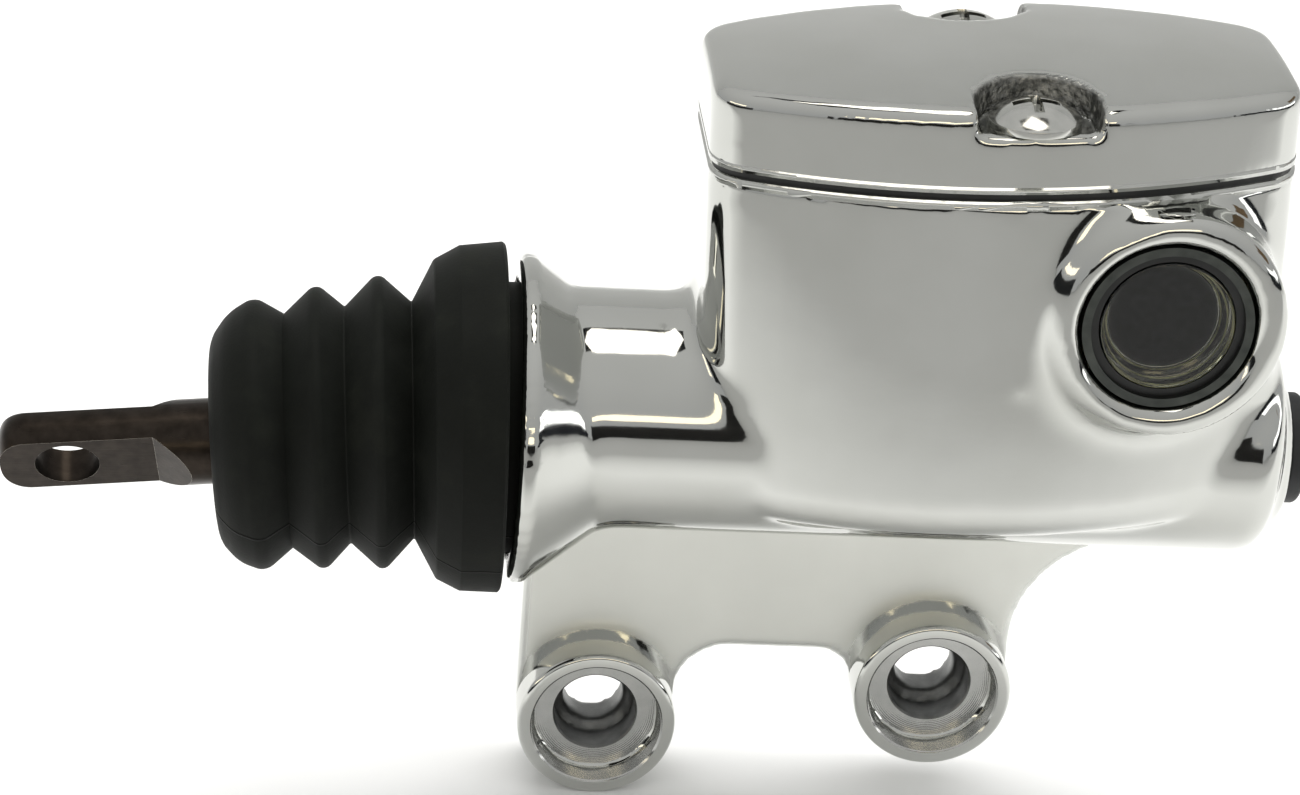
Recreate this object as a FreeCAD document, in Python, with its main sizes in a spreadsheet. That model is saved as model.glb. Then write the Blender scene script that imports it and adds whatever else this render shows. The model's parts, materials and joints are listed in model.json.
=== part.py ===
import FreeCAD, Part
import math
import os
import Sketcher

Vector = FreeCAD.Vector
Rotation = FreeCAD.Rotation

# Brake master cylinder with its reservoir cast on.
# Frame: X along the bore towards the outlet, Y rearwards through the mounting holes, Z up.
# Origin: left mounting hole, on the rear mounting face. Lengths in mm, angles in degrees.
SIZES = {
    # bore and barrel
    "bore_radius": 7.94,
    "bore_forward": 18.5,  # bore axis in front of the mounting face
    "bore_height": 40.8,
    "bore_end": 58.0,
    "running_gap": 0.04,
    "barrel_radius": 12.5,
    "barrel_rise": 1.6,  # barrel centre above the bore, so more metal stands over the ports
    "barrel_start": -8.0,  # inside the bell, so the barrel runs out into its flare
    "barrel_end": 67.0,
    "barrel_end_round": 3.0,
    "web_start": -6.0,
    "web_back": 3.0,  # the web under the barrel ends inside the plate
    # bell mouth
    "rim_start": -12.0,
    "rim_radius": 17.1,
    "rim_width": 1.6,
    "rim_round": 0.7,
    "flare_end": -1.8,
    "flare_radius": 10.6,
    "flare_overlap": 3.3,  # how far the bell's stem runs inside the barrel
    "mouth_radius": 14.2,
    "mouth_depth": 2.8,
    "washer_seat_radius": 9.2,
    "washer_seat_depth": 5.9,
    "ring_groove_radius": 10.2,
    "ring_thickness": 1.1,
    "washer_thickness": 1.2,
    # outlet
    "outlet_boss_radius": 8.2,
    "outlet_face": 69.0,
    "outlet_port_radius": 4.6,
    "outlet_port_depth": 8.5,
    "outlet_passage_radius": 1.5,
    "plug_head_radius": 5.85,
    "plug_head_thickness": 1.8,
    "plug_gap": 0.1,
    "plug_end_gap": 1.0,
    "plug_round": 0.5,
    # ports between the reservoir and the bore
    "feed_port_lead": 6.2,
    "feed_port_radius": 0.6,
    "recharge_port_radius": 1.6,
    "port_spacing": 15.8,
    "baffle_shift": 3.0,
    "baffle_margin": 5.0,
    "baffle_metal": 0.8,
    "baffle_rise": 3.0,
    "baffle_width": 9.0,
    # mounting plate and bosses
    "plate_thickness": 6.2,
    "plate_top": 46.0,
    "shoulder_run": 16.38,  # the plate runs this far past the right boss, over the shoulder
    "plate_shoulder": 22.7,
    "shoulder_radius": 13.0,
    "arch_height": 7.7,
    "arch_radius": 6.0,
    "arch_right_radius": 4.5,
    "arch_right_gap": 0.4,  # the arch's right side stands off the right boss
    "arch_slant": 1.6,
    "boss_foot": 5.0,
    "boss_radius": 8.7,
    "boss_length": 11.0,
    "boss_round": 1.0,
    "hole_spacing": 37.26,
    "hole_tilt": 7.73,
    "bolt_radius": 3.3,
    "recess_radius": 4.5,
    "recess_depth": 4.0,
    "seat_radius": 7.12,
    "seat_depth": 3.05,
    # reservoir, upright about its own axis, which leans back from the bore's square by reservoir_tilt
    "reservoir_middle": 34.7,
    "reservoir_seat": 74.0,
    "reservoir_tilt": 2.7,
    "reservoir_length": 58.7,
    "reservoir_width": 33.6,
    "reservoir_height": 38.5,
    "bow_radius": 64.0,
    "reservoir_corner": 5.0,
    "reservoir_foot": 9.0,
    "reservoir_wall": 3.0,
    "cavity_depth": 20.5,
    # sight glass
    "sight_across": 50.9,
    "sight_height": 61.9,
    "bezel_radius": 12.1,
    "bezel_forward": 37.5,  # bezel face in front of the mounting face
    "bezel_round": 1.6,
    "bezel_root": 8.0,  # how far the bezel's neck runs inside the reservoir's front
    "glass_seat_radius": 8.8,
    "glass_seat_flare": 1.0,
    "glass_seat_depth": 3.8,
    "window_radius": 7.0,
    "window_depth": 10.8,
    "glass_gap": 0.2,
    "glass_flange": 1.3,
    "glass_front": 2.5,
    "glass_back": 2.5,
    "reflector_radius": 5.5,
    "reflector_thickness": 0.6,
    "seal_thickness": 1.0,
    "retainer_thickness": 0.6,
    "retainer_width": 0.9,
    # cover, gasket and screws
    "gasket_thickness": 0.8,
    "gasket_inset": 0.35,
    "cover_side": 8.1,
    "cover_crown": 1.4,
    "cover_round": 1.5,
    "crown_across": 105.0,
    "crown_along": 340.0,
    "screw_offset": 12.5,
    "screw_skew": 1.8,
    "screw_boss_radius": 4.4,
    "screw_radius": 2.4,
    "screw_length": 14.0,
    "screw_head_radius": 4.6,
    "screw_head_height": 2.4,
    "screw_head_edge": 0.7,
    "screw_tip_gap": 1.0,
    "screw_gap": 0.3,
    "cross_arm": 2.3,
    "cross_slot": 0.5,
    "cross_depth": 1.4,
    "pocket_radius": 6.1,
    "pocket_end_radius": 6.35,
    "pocket_floor": 6.6,
    "cover_hollow": 4.5,
    "pan_length": 42.0,
    "pan_width": 14.0,
    "pan_depth": 5.0,
    "pan_wall": 1.2,
    # piston group
    "piston_gap": 0.04,
    "piston_back": -5.9,
    "piston_step": 28.0,
    "piston_nose": 35.0,
    "nose_radius": 3.6,
    "piston_waist": 5.0,
    "ball_radius": 6.2,
    "ball_gap": 0.05,
    "ball_centre": -3.1,
    "land_width": 2.5,
    "rear_groove": 3.5,
    "head_width": 4.0,
    "cup_gap": 0.05,
    "cup_lip_gap": 0.09,
    "cup_heel_relief": 0.3,
    "cup_lip_thickness": 1.0,
    "cup_lip_root": 1.4,
    "cup_inner_wall": 1.0,
    "secondary_cup_start": 0.2,
    "secondary_cup_length": 3.0,
    "secondary_cup_heel": 1.4,
    "backing_washer_thickness": 0.6,
    "backing_washer_gap": 0.4,
    "primary_cup_length": 4.4,
    "primary_cup_heel": 1.9,
    "spring_seat_wall": 0.9,
    "spring_seat_flange_back": 2.6,
    "spring_seat_flange": 1.0,
    "spring_seat_length": 4.2,
    "circlip_reach": 1.4,
    "circlip_gap": 0.15,
    "circlip_opening": 4.0,
    "circlip_opening_floor": 4.0,
    "stop_washer_gap": 0.1,
    "stop_washer_lap": 0.6,
    "spring_end_gap": 0.1,
    "spring_radius": 5.6,
    "spring_wire": 1.4,
    "spring_pitch": 4.1,
    # push rod and boot
    "rod_radius": 4.45,
    "neck_radius": 3.1,  # thin behind the ball, so the rod can swing in the stop washer at full stroke
    "neck_length": 19.0,
    "neck_blend": 2.0,
    "rod_droop": 5.8,
    "rod_roll": 30.0,
    "eye_distance": 54.7,
    "tongue_end": 61.6,
    "tongue_start": 45.6,
    "tongue_thickness": 3.9,
    "eye_radius": 3.3,
    "tongue_runout": 2.6,
    "tip_round": 3.0,
    "boot_rim_radius": 18.15,
    "boot_rim_chamfer": 0.9,
    "boot_rim_bevel": 0.5,
    "boot_band": 4.9,
    "boot_shoulder": 7.4,
    "boot_shoulder_radius": 16.3,
    "boot_first_fold": 12.9,
    "boot_fold_pitch": 6.0,
    "boot_fold_radius": 15.4,
    "boot_fold_taper": 0.87,
    "boot_valley_radius": 12.25,
    "boot_end_band": 1.9,
    "boot_end_band_radius": 13.05,
    "boot_end_radius": 12.0,
    "boot_length": 30.8,
    "boot_wall": 1.5,
    "boot_rim_gap": 1.3,
    "boot_lip_radius": 14.1,
    "boot_lip_gap": 0.1,
    "boot_rod_gap": 0.1,
    # cutting shapes run this far past the faces they cut
    "overrun": 1.0,
}


class Size(float):
    """A number that remembers the sheet formula it comes from."""

    def __new__(cls, value, formula):
        made = float.__new__(cls, value)
        made.formula = formula
        return made

    def _with(self, other, sign, value, swap=False):
        left, right = (text(other), self.formula) if swap else (self.formula, text(other))
        return Size(value, f"({left} {sign} {right})")

    def __add__(self, other):
        return self._with(other, "+", float(self) + float(other))

    def __radd__(self, other):
        return self._with(other, "+", float(self) + float(other), True)

    def __sub__(self, other):
        return self._with(other, "-", float(self) - float(other))

    def __rsub__(self, other):
        return self._with(other, "-", float(other) - float(self), True)

    def __mul__(self, other):
        return self._with(other, "*", float(self) * float(other))

    def __rmul__(self, other):
        return self._with(other, "*", float(self) * float(other), True)

    def __truediv__(self, other):
        return self._with(other, "/", float(self) / float(other))

    def __neg__(self):
        return Size(-float(self), f"(0 - {self.formula})")


def text(value):
    return value.formula if isinstance(value, Size) else repr(float(value))


def cosine(angle):
    return Size(math.cos(math.radians(angle)), f"cos({text(angle)} * 1deg)")


def sine(angle):
    return Size(math.sin(math.radians(angle)), f"sin({text(angle)} * 1deg)")


def root(value):
    return Size(math.sqrt(float(value)), f"sqrt({text(value)})")


BOOT_FOLDS = 3
BOOT_BEND = 0.8  # below 1, the boot bends more near its rim
EDGE_BAND = 4.0  # an edge this near the top of the leaning reservoir belongs to its top face


doc = FreeCAD.newDocument("brake_master_cylinder")
sheet = doc.addObject("Spreadsheet::Sheet", "sizes")
sheet.Label = "sizes"


class Named:
    """The driving sizes, read back from the sheet by name."""


size = Named()
for row, (alias, number) in enumerate(SIZES.items(), start=1):
    sheet.set(f"A{row}", alias)
    sheet.set(f"B{row}", repr(number))
    sheet.setAlias(f"B{row}", alias)
    setattr(size, alias, Size(number, f"sizes.{alias}"))
doc.recompute()

subparts = []


# ---------------------------------------------------------------- small tools


def bind(thing, path, value, unit="mm"):
    """Sets a property, and ties it to the sheet where the value comes from there."""
    if isinstance(value, Size):
        thing.setExpression(path, f"{value.formula} * 1{unit}")


def origin_plane(body, role):
    return next(f for f in body.Origin.OriginFeatures if f.Role == role)


def new_body(name, base=None, axis=None, angle=None):
    """A body with its own Label and Placement, the place tied to the sheet."""
    body = doc.addObject("PartDesign::Body", name)
    body.Label = name
    subparts.append(body)
    if base:
        turn = Rotation(Vector(*axis), float(angle)) if axis else Rotation()
        body.Placement = FreeCAD.Placement(Vector(*[float(v) for v in base]), turn)
        for letter, value in zip("xyz", base):
            bind(body, f"Placement.Base.{letter}", value)
        if axis:
            bind(body, "Placement.Rotation.Angle", angle, "deg")
    return body


def new_sketch(body, name, role, offset=None, tilt=None, about=(0, 1, 0)):
    """A sketch on one of the body's own origin planes; offset and the axis it tilts about are
    along the plane's own axes."""
    sketch = body.newObject("Sketcher::SketchObject", name)
    sketch.AttachmentSupport = [(origin_plane(body, role), "")]
    sketch.MapMode = "FlatFace"
    if offset:
        turn = Rotation(Vector(*about), float(tilt)) if tilt is not None else Rotation()
        sketch.AttachmentOffset = FreeCAD.Placement(Vector(*[float(v) for v in offset]), turn)
        for letter, value in zip("xyz", offset):
            bind(sketch, f"AttachmentOffset.Base.{letter}", value)
        if tilt is not None:
            bind(sketch, "AttachmentOffset.Rotation.Angle", tilt, "deg")
    return sketch


def pin_point(sketch, curve, end, point):
    for kind, value in zip(("DistanceX", "DistanceY"), point):
        index = sketch.addConstraint(Sketcher.Constraint(kind, -1, 1, curve, end, float(value)))
        bind(sketch, f"Constraints[{index}]", value)


def pin_radius(sketch, curve, radius):
    index = sketch.addConstraint(Sketcher.Constraint("Radius", curve, float(radius)))
    bind(sketch, f"Constraints[{index}]", radius)


def draw_circle(sketch, across, up, radius):
    curve = sketch.addGeometry(Part.Circle(Vector(across, up, 0), Vector(0, 0, 1), float(radius)), False)
    pin_point(sketch, curve, 3, (across, up))
    pin_radius(sketch, curve, radius)


def draw_outline(sketch, points, arcs=None):
    """A closed outline. arcs gives, for a side by its number, the radius of an arc that bulges
    to the left of the way the outline runs when positive, and to the right when negative."""
    arcs = arcs or {}
    curves = []
    for number, start in enumerate(points):
        stop = points[(number + 1) % len(points)]
        a, b = Vector(*[float(v) for v in start], 0), Vector(*[float(v) for v in stop], 0)
        if number not in arcs:
            curves.append((sketch.addGeometry(Part.LineSegment(a, b), False), 1, 2))
            continue
        radius = float(arcs[number])
        chord = b - a
        side = Vector(-chord.y, chord.x, 0).normalize() * math.copysign(1, radius)
        depth = math.sqrt(max(radius**2 - (chord.Length / 2) ** 2, 0))
        middle = (a + b) / 2
        crest = middle + side * (abs(radius) - depth)
        arc = Part.Arc(a, crest, b)
        index = sketch.addGeometry(arc, False)
        forward = sketch.getPoint(index, 1).distanceToPoint(a) < sketch.getPoint(index, 2).distanceToPoint(a)
        curves.append((index, 1, 2) if forward else (index, 2, 1))
        pin_radius(sketch, index, arcs[number] if radius > 0 else -arcs[number])
    for number, (curve, first, _) in enumerate(curves):
        before = curves[number - 1]
        sketch.addConstraint(Sketcher.Constraint("Coincident", before[0], before[2], curve, first))
        pin_point(sketch, curve, first, points[number])


def checked(body, feature, grows):
    """Recomputes and makes sure that the feature added or removed material."""
    before = feature.BaseFeature.Shape.Volume if feature.BaseFeature else 0.0
    doc.recompute()
    if not feature.isValid() or feature.Shape.isNull():
        raise RuntimeError(f"{body.Label}: {feature.Label} failed")
    change = feature.Shape.Volume - before
    if change * (1 if grows else -1) <= 0:
        raise RuntimeError(f"{body.Label}: {feature.Label} changed the volume by {change:.3f}")
    return feature


def extrude(body, sketch, length, cut=False, reverse=False, both=False):
    kind, name = ("PartDesign::Pocket", "cut") if cut else ("PartDesign::Pad", "pad")
    feature = body.newObject(kind, f"{sketch.Name}_{name}")
    feature.Profile = sketch
    feature.Length = float(length)
    bind(feature, "Length", length)
    feature.Reversed = reverse
    feature.Midplane = both
    return checked(body, feature, not cut)


def turn(body, sketch, axis, cut=False):
    """Revolves a sketch fully about one of its own axes."""
    kind, name = ("PartDesign::Groove", "cut") if cut else ("PartDesign::Revolution", "turned")
    feature = body.newObject(kind, f"{sketch.Name}_{name}")
    feature.Profile = sketch
    feature.ReferenceAxis = (sketch, [axis])
    feature.Angle = 360
    return checked(body, feature, not cut)


def round_edges(body, radius, wanted, grows=False, kind="Fillet", measure="Radius"):
    """Fillets, or chamfers, the edges of the body's tip that wanted(edge) picks."""
    base = body.Tip
    names = [f"Edge{i}" for i, edge in enumerate(base.Shape.Edges, start=1) if wanted(edge)]
    if not names:
        raise RuntimeError(f"{body.Label}: no edge to round")
    feature = body.newObject(f"PartDesign::{kind}", f"{body.Name}_{kind.lower()}")
    feature.Base = (base, names)
    setattr(feature, measure, float(radius))
    bind(feature, measure, radius)
    return checked(body, feature, grows)


def is_round(edge, centre, radius, slack=0.05):
    """True for a circular edge of this radius whose centre is here."""
    if not isinstance(edge.Curve, Part.Circle):
        return False
    same = abs(edge.Curve.Radius - float(radius)) < slack
    return same and edge.Curve.Center.distanceToPoint(Vector(*[float(v) for v in centre])) < slack


def turned_part(name, base, profile, axis=None, angle=None):
    """A body turned about its own X axis from (along, radius) points."""
    body = new_body(name, base, axis, angle)
    sketch = new_sketch(body, f"{name}_profile", "XZ_Plane")
    draw_outline(sketch, profile)
    turn(body, sketch, "H_Axis")
    return body


bore_y = -size.bore_forward
bore_z = size.bore_height
on_bore = (0.0, bore_y, bore_z)
hole_x = size.hole_spacing * cosine(size.hole_tilt)
hole_z = size.hole_spacing * sine(size.hole_tilt)
mounting_holes = ((0.0, 0.0), (hole_x, hole_z))
lean = -size.reservoir_tilt
reservoir_base = (size.reservoir_middle, bore_y, size.reservoir_seat)
mouth_floor = size.rim_start + size.mouth_depth
washer_seat = size.rim_start + size.washer_seat_depth
washer_back = washer_seat - size.washer_thickness
ring_back = washer_back - size.ring_thickness
glass_seat_forward = size.bezel_forward - size.glass_seat_depth
feed_port = size.piston_step + size.feed_port_lead
boot_front = size.rim_start - size.boot_rim_gap
droop_slope = sine(size.rod_droop) / cosine(size.rod_droop)


# ---------------------------------------------------------------- outlines


def reservoir_outline(sketch, inset):
    """Rounded rectangle whose front and back are bowed; inset shrinks it all round."""
    half_length = size.reservoir_length / 2 - inset
    bow = size.bow_radius - inset
    side = size.reservoir_width / 2 - size.bow_radius + root(bow * bow - half_length * half_length)
    corners = [(-half_length, -side), (half_length, -side), (half_length, side), (-half_length, side)]
    draw_outline(sketch, corners, {0: -bow, 2: -bow})


def reservoir_sketch(body, name, level):
    """A sketch square to the reservoir's axis, this far above its gasket seat, in the part's frame."""
    x, y, z = reservoir_base
    offset = (x - level * sine(size.reservoir_tilt), y, z + level * cosine(size.reservoir_tilt))
    return new_sketch(body, name, "XY_Plane", offset, lean)


def upright(edge):
    """True for a straight edge that runs along the reservoir's own axis."""
    if not isinstance(edge.Curve, Part.Line):
        return False
    run = edge.tangentAt(edge.FirstParameter)
    return abs(run.z) > 0.99


# ---------------------------------------------------------------- housing


def add_reservoir_block(body):
    sketch = reservoir_sketch(body, "reservoir_plan", 0.0)
    reservoir_outline(sketch, 0.0)
    extrude(body, sketch, size.reservoir_height, reverse=True)
    floor = min(v.Z for v in body.Tip.Shape.Vertexes)
    top = max(v.Z for v in body.Tip.Shape.Vertexes)

    def foot(edge):
        run = edge.tangentAt(edge.FirstParameter)
        return abs(run.y) > 0.99 and edge.CenterOfMass.z < (floor + top) / 2

    round_edges(body, size.reservoir_foot, foot)

    def corner(edge):
        at_top = edge.BoundBox.ZMin > top - EDGE_BAND
        side_line = abs(edge.tangentAt(edge.FirstParameter).y) > 0.99
        return not at_top and not side_line

    round_edges(body, size.reservoir_corner, corner)


def add_barrel(body):
    mouth = new_sketch(body, "bell_profile", "XZ_Plane", (0.0, bore_z, size.bore_forward))
    back = size.flare_end + size.flare_overlap
    draw_outline(mouth, [
        (size.rim_start, 0.0),
        (size.rim_start, size.rim_radius),
        (size.rim_start + size.rim_width, size.rim_radius),
        (size.flare_end, size.flare_radius),
        (back, size.flare_radius),
        (back, 0.0),
    ])
    turn(body, mouth, "H_Axis")
    barrel = new_sketch(body, "barrel_section", "YZ_Plane", (0.0, 0.0, size.barrel_start))
    draw_circle(barrel, bore_y, bore_z + size.barrel_rise, size.barrel_radius)
    extrude(body, barrel, size.barrel_end - size.barrel_start)
    end = (size.barrel_end, bore_y, bore_z + size.barrel_rise)
    round_edges(body, size.barrel_end_round, lambda e: is_round(e, end, size.barrel_radius))
    web = new_sketch(body, "web_section", "YZ_Plane", (0.0, 0.0, size.web_start))
    low = bore_z + size.barrel_rise - size.barrel_radius
    back = -size.web_back
    draw_outline(web, [(bore_y, low), (back, low), (back, size.plate_top), (bore_y, size.plate_top)])
    extrude(body, web, hole_x + size.boss_radius + size.shoulder_run - size.web_start)
    outlet = new_sketch(body, "outlet_section", "YZ_Plane", (0.0, 0.0, size.bore_end))
    draw_circle(outlet, bore_y, bore_z, size.outlet_boss_radius)
    extrude(body, outlet, size.outlet_face - size.bore_end)


def add_mounting_plate(body):
    plate = new_sketch(body, "plate_outline", "XZ_Plane")
    left, right = -size.boss_radius, hole_x + size.boss_radius
    plate_right = right + size.shoulder_run
    arch_left, arch_right = size.boss_radius, hole_x - size.boss_radius - size.arch_right_gap
    draw_outline(plate, [
        (left, 0.0),
        (left, size.plate_top),
        (plate_right, size.plate_top),
        (plate_right, size.plate_shoulder),
        (right, size.plate_shoulder),
        (right, hole_z),
        (hole_x, hole_z - size.boss_foot),
        (arch_right + size.arch_slant, hole_z - size.boss_foot),
        (arch_right, size.arch_height),
        (arch_left, size.arch_height),
        (arch_left, 0.0),
    ])
    extrude(body, plate, size.plate_thickness)

    def runs_back(x, z):
        def wanted(edge):
            middle = edge.CenterOfMass
            across = abs(edge.tangentAt(edge.FirstParameter).y) > 0.99
            return across and math.hypot(middle.x - float(x), middle.z - float(z)) < 0.1
        return wanted

    round_edges(body, size.shoulder_radius, runs_back(right, size.plate_shoulder), grows=True)
    round_edges(body, size.arch_radius, runs_back(arch_left, size.arch_height), grows=True)
    round_edges(body, size.arch_right_radius, runs_back(arch_right, size.arch_height), grows=True)
    for side, (x, z) in zip(("left", "right"), mounting_holes):
        boss = new_sketch(body, f"boss_{side}", "XZ_Plane")
        draw_circle(boss, x, z, size.boss_radius)
        extrude(body, boss, size.boss_length)
        front = (x, -size.boss_length, z)
        round_edges(body, size.boss_round, lambda e: is_round(e, front, size.boss_radius))


def add_sight_boss(body):
    inner = size.reservoir_width / 2 + size.bore_forward - size.bezel_root
    bezel = new_sketch(body, "bezel", "XZ_Plane", (0.0, 0.0, inner))
    draw_circle(bezel, size.sight_across, size.sight_height, size.bezel_radius)
    extrude(body, bezel, size.bezel_forward - inner)
    face = (size.sight_across, -size.bezel_forward, size.sight_height)
    round_edges(body, size.bezel_round, lambda e: is_round(e, face, size.bezel_radius))


def screw_places(way):
    """Centre of the front (way 1) or rear (way -1) cover screw, in the reservoir's own plan."""
    return way * size.screw_skew, -way * size.screw_offset


def cut_reservoir(body):
    cavity = reservoir_sketch(body, "cavity_plan", 0.0)
    reservoir_outline(cavity, size.reservoir_wall)
    extrude(body, cavity, size.cavity_depth, cut=True)
    bosses = reservoir_sketch(body, "screw_bosses", 0.0)
    for way in (1, -1):
        draw_circle(bosses, *screw_places(way), size.screw_boss_radius)
    extrude(body, bosses, size.cavity_depth, reverse=True)
    threads = reservoir_sketch(body, "screw_threads", 0.0)
    for way in (1, -1):
        draw_circle(threads, *screw_places(way), size.screw_radius + size.running_gap)
    extrude(body, threads, size.screw_length, cut=True)


def cut_bore(body):
    passage = new_sketch(body, "bore_profile", "XZ_Plane", (0.0, bore_z, size.bore_forward))
    port = size.outlet_face - size.outlet_port_depth
    draw_outline(passage, [
        (size.rim_start - size.overrun, 0.0),
        (size.rim_start - size.overrun, size.mouth_radius),
        (mouth_floor, size.mouth_radius),
        (mouth_floor, size.washer_seat_radius),
        (ring_back, size.washer_seat_radius),
        (ring_back, size.ring_groove_radius),
        (washer_back, size.ring_groove_radius),
        (washer_back, size.washer_seat_radius),
        (washer_seat, size.washer_seat_radius),
        (washer_seat, size.bore_radius),
        (size.bore_end, size.bore_radius),
        (size.bore_end, size.outlet_passage_radius),
        (port, size.outlet_passage_radius),
        (port, size.outlet_port_radius),
        (size.outlet_face + size.overrun, size.outlet_port_radius),
        (size.outlet_face + size.overrun, 0.0),
    ])
    turn(body, passage, "H_Axis", cut=True)
    # feed port ahead of the primary cup, and the wider recharge port over the piston's waist
    ports = (
        ("feed_port", feed_port, size.feed_port_radius),
        ("recharge_port", feed_port - size.port_spacing, size.recharge_port_radius),
    )
    cavity_side = size.reservoir_seat - bore_z - size.reservoir_wall
    for name, x, radius in ports:
        port_hole = new_sketch(body, name, "XY_Plane", (0.0, 0.0, bore_z))
        draw_circle(port_hole, x, bore_y, radius)
        extrude(body, port_hole, cavity_side, cut=True, reverse=True)


def cut_mounting_holes(body):
    steps = (
        ("seat", size.seat_radius, size.boss_length - size.seat_depth),
        ("recess", size.recess_radius, size.boss_length - size.seat_depth - size.recess_depth),
        ("bolt", size.bolt_radius, -size.overrun),
    )
    for name, radius, floor in steps:
        for side, (x, z) in zip(("left", "right"), mounting_holes):
            start = size.boss_length + size.overrun
            hole = new_sketch(body, f"{name}_{side}", "XZ_Plane", (0.0, 0.0, start))
            draw_circle(hole, x, z, radius)
            extrude(body, hole, start - floor, cut=True)


def cut_sight_glass(body):
    seat = new_sketch(body, "glass_seat", "XZ_Plane", (0.0, 0.0, size.bezel_forward))
    draw_circle(seat, size.sight_across, size.sight_height, size.glass_seat_radius)
    extrude(body, seat, size.glass_seat_depth, cut=True)
    face = (size.sight_across, -size.bezel_forward, size.sight_height)
    round_edges(body, size.glass_seat_flare, lambda e: is_round(e, face, size.glass_seat_radius),
                kind="Chamfer", measure="Size")
    window = new_sketch(body, "window", "XZ_Plane", (0.0, 0.0, size.bezel_forward))
    draw_circle(window, size.sight_across, size.sight_height, size.window_radius)
    extrude(body, window, size.window_depth, cut=True)


def make_housing():
    body = new_body("housing")
    add_reservoir_block(body)
    add_barrel(body)
    add_mounting_plate(body)
    add_sight_boss(body)
    cut_reservoir(body)
    cut_bore(body)
    cut_mounting_holes(body)
    cut_sight_glass(body)
    rim = (size.rim_start, bore_y, bore_z)
    round_edges(body, size.rim_round, lambda e: is_round(e, rim, size.rim_radius))


# ---------------------------------------------------------------- lid, gasket, screws, baffle


def make_cover():
    body = new_body("reservoir_cover", reservoir_base, (0, 1, 0), lean)
    plan = new_sketch(body, "cover_plan", "XY_Plane", (0.0, 0.0, size.gasket_thickness))
    reservoir_outline(plan, 0.0)
    height = size.cover_side + size.cover_crown
    extrude(body, plan, height)
    round_edges(body, size.reservoir_corner, upright)
    top = size.gasket_thickness + height
    crown = new_sketch(body, "crown_cut", "XZ_Plane", (0.0, top - size.crown_across, 0.0))
    half = size.reservoir_length / 2 + size.reservoir_corner
    drop = size.crown_along - root(size.crown_along * size.crown_along - half * half)
    low, high = size.crown_across - drop, size.crown_across + size.reservoir_corner
    draw_outline(crown, [(-half, low), (-half, high), (half, high), (half, low)], {3: -size.crown_along})
    turn(body, crown, "H_Axis", cut=True)
    side_top = size.gasket_thickness + size.cover_side - 3.5

    def top_edge(edge):
        return edge.BoundBox.ZMin > side_top

    round_edges(body, size.cover_round, top_edge)
    pocket = new_sketch(body, "screw_pockets", "XY_Plane", (0.0, 0.0, top + size.overrun))
    for way in (1, -1):
        x, y = screw_places(way)
        reach = way * size.pocket_radius
        end = -way * (size.reservoir_width / 2 + size.overrun)
        corners = [(x - reach, end), (x - reach, y), (x + reach, y), (x + reach, end)]
        draw_outline(pocket, corners, {1: size.pocket_end_radius})
    extrude(body, pocket, top + size.overrun - size.pocket_floor, cut=True)
    holes = new_sketch(body, "screw_clearance", "XY_Plane")
    for way in (1, -1):
        draw_circle(holes, *screw_places(way), size.screw_radius + size.screw_gap)
    extrude(body, holes, top, cut=True, reverse=True)
    hollow = new_sketch(body, "cover_hollow_plan", "XY_Plane")
    x, y = size.pan_length / 2, size.pan_width / 2
    draw_outline(hollow, [(-x, -y), (x, -y), (x, y), (-x, y)])
    extrude(body, hollow, size.gasket_thickness + size.cover_hollow, cut=True, reverse=True)


def make_diaphragm():
    body = new_body("diaphragm", reservoir_base, (0, 1, 0), lean)
    sheet_plan = new_sketch(body, "gasket_plan", "XY_Plane")
    reservoir_outline(sheet_plan, size.gasket_inset)
    extrude(body, sheet_plan, size.gasket_thickness)
    round_edges(body, size.reservoir_corner - size.gasket_inset, upright)
    x, y = size.pan_length / 2, size.pan_width / 2
    pan = new_sketch(body, "pan_plan", "XY_Plane")
    draw_outline(pan, [(-x, -y), (x, -y), (x, y), (-x, y)])
    extrude(body, pan, size.pan_depth, reverse=True)
    x, y = x - size.pan_wall, y - size.pan_wall
    inside = new_sketch(body, "pan_inside", "XY_Plane", (0.0, 0.0, size.gasket_thickness))
    draw_outline(inside, [(-x, -y), (x, -y), (x, y), (-x, y)])
    extrude(body, inside, size.gasket_thickness + size.pan_depth - size.pan_wall, cut=True)
    holes = new_sketch(body, "gasket_holes", "XY_Plane")
    for way in (1, -1):
        draw_circle(holes, *screw_places(way), size.screw_radius + size.screw_gap)
    extrude(body, holes, size.gasket_thickness, cut=True, reverse=True)


def make_cover_screw(name, way):
    """Domed screw, turned about its own axis, with a cross recess."""
    x, y = screw_places(way)
    rise = size.pocket_floor
    tilt = size.reservoir_tilt
    base = (
        reservoir_base[0] + x * cosine(tilt) - rise * sine(tilt),
        reservoir_base[1] + y,
        reservoir_base[2] + x * sine(tilt) + rise * cosine(tilt),
    )
    body = new_body(name, base, (0, 1, 0), lean)
    profile = new_sketch(body, f"{name}_profile", "XZ_Plane")
    end = -(size.pocket_floor + size.screw_length - size.screw_tip_gap)
    head, shoulder = size.screw_head_radius, size.screw_head_edge
    rise = size.screw_head_height - shoulder
    dome = (head * head + rise * rise) / (2 * rise)
    draw_outline(profile, [
        (0.0, end),
        (size.screw_radius, end),
        (size.screw_radius, 0.0),
        (head, 0.0),
        (head, shoulder),
        (0.0, size.screw_head_height),
    ], {4: -dome})
    turn(body, profile, "V_Axis")
    cross = new_sketch(body, f"{name}_cross", "XY_Plane", (0.0, 0.0, size.screw_head_height))
    arm, half = size.cross_arm, size.cross_slot
    draw_outline(cross, [
        (-arm, -half), (-half, -half), (-half, -arm), (half, -arm), (half, -half), (arm, -half),
        (arm, half), (half, half), (half, arm), (-half, arm), (-half, half), (-arm, half),
    ])
    extrude(body, cross, size.cross_depth, cut=True)


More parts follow.
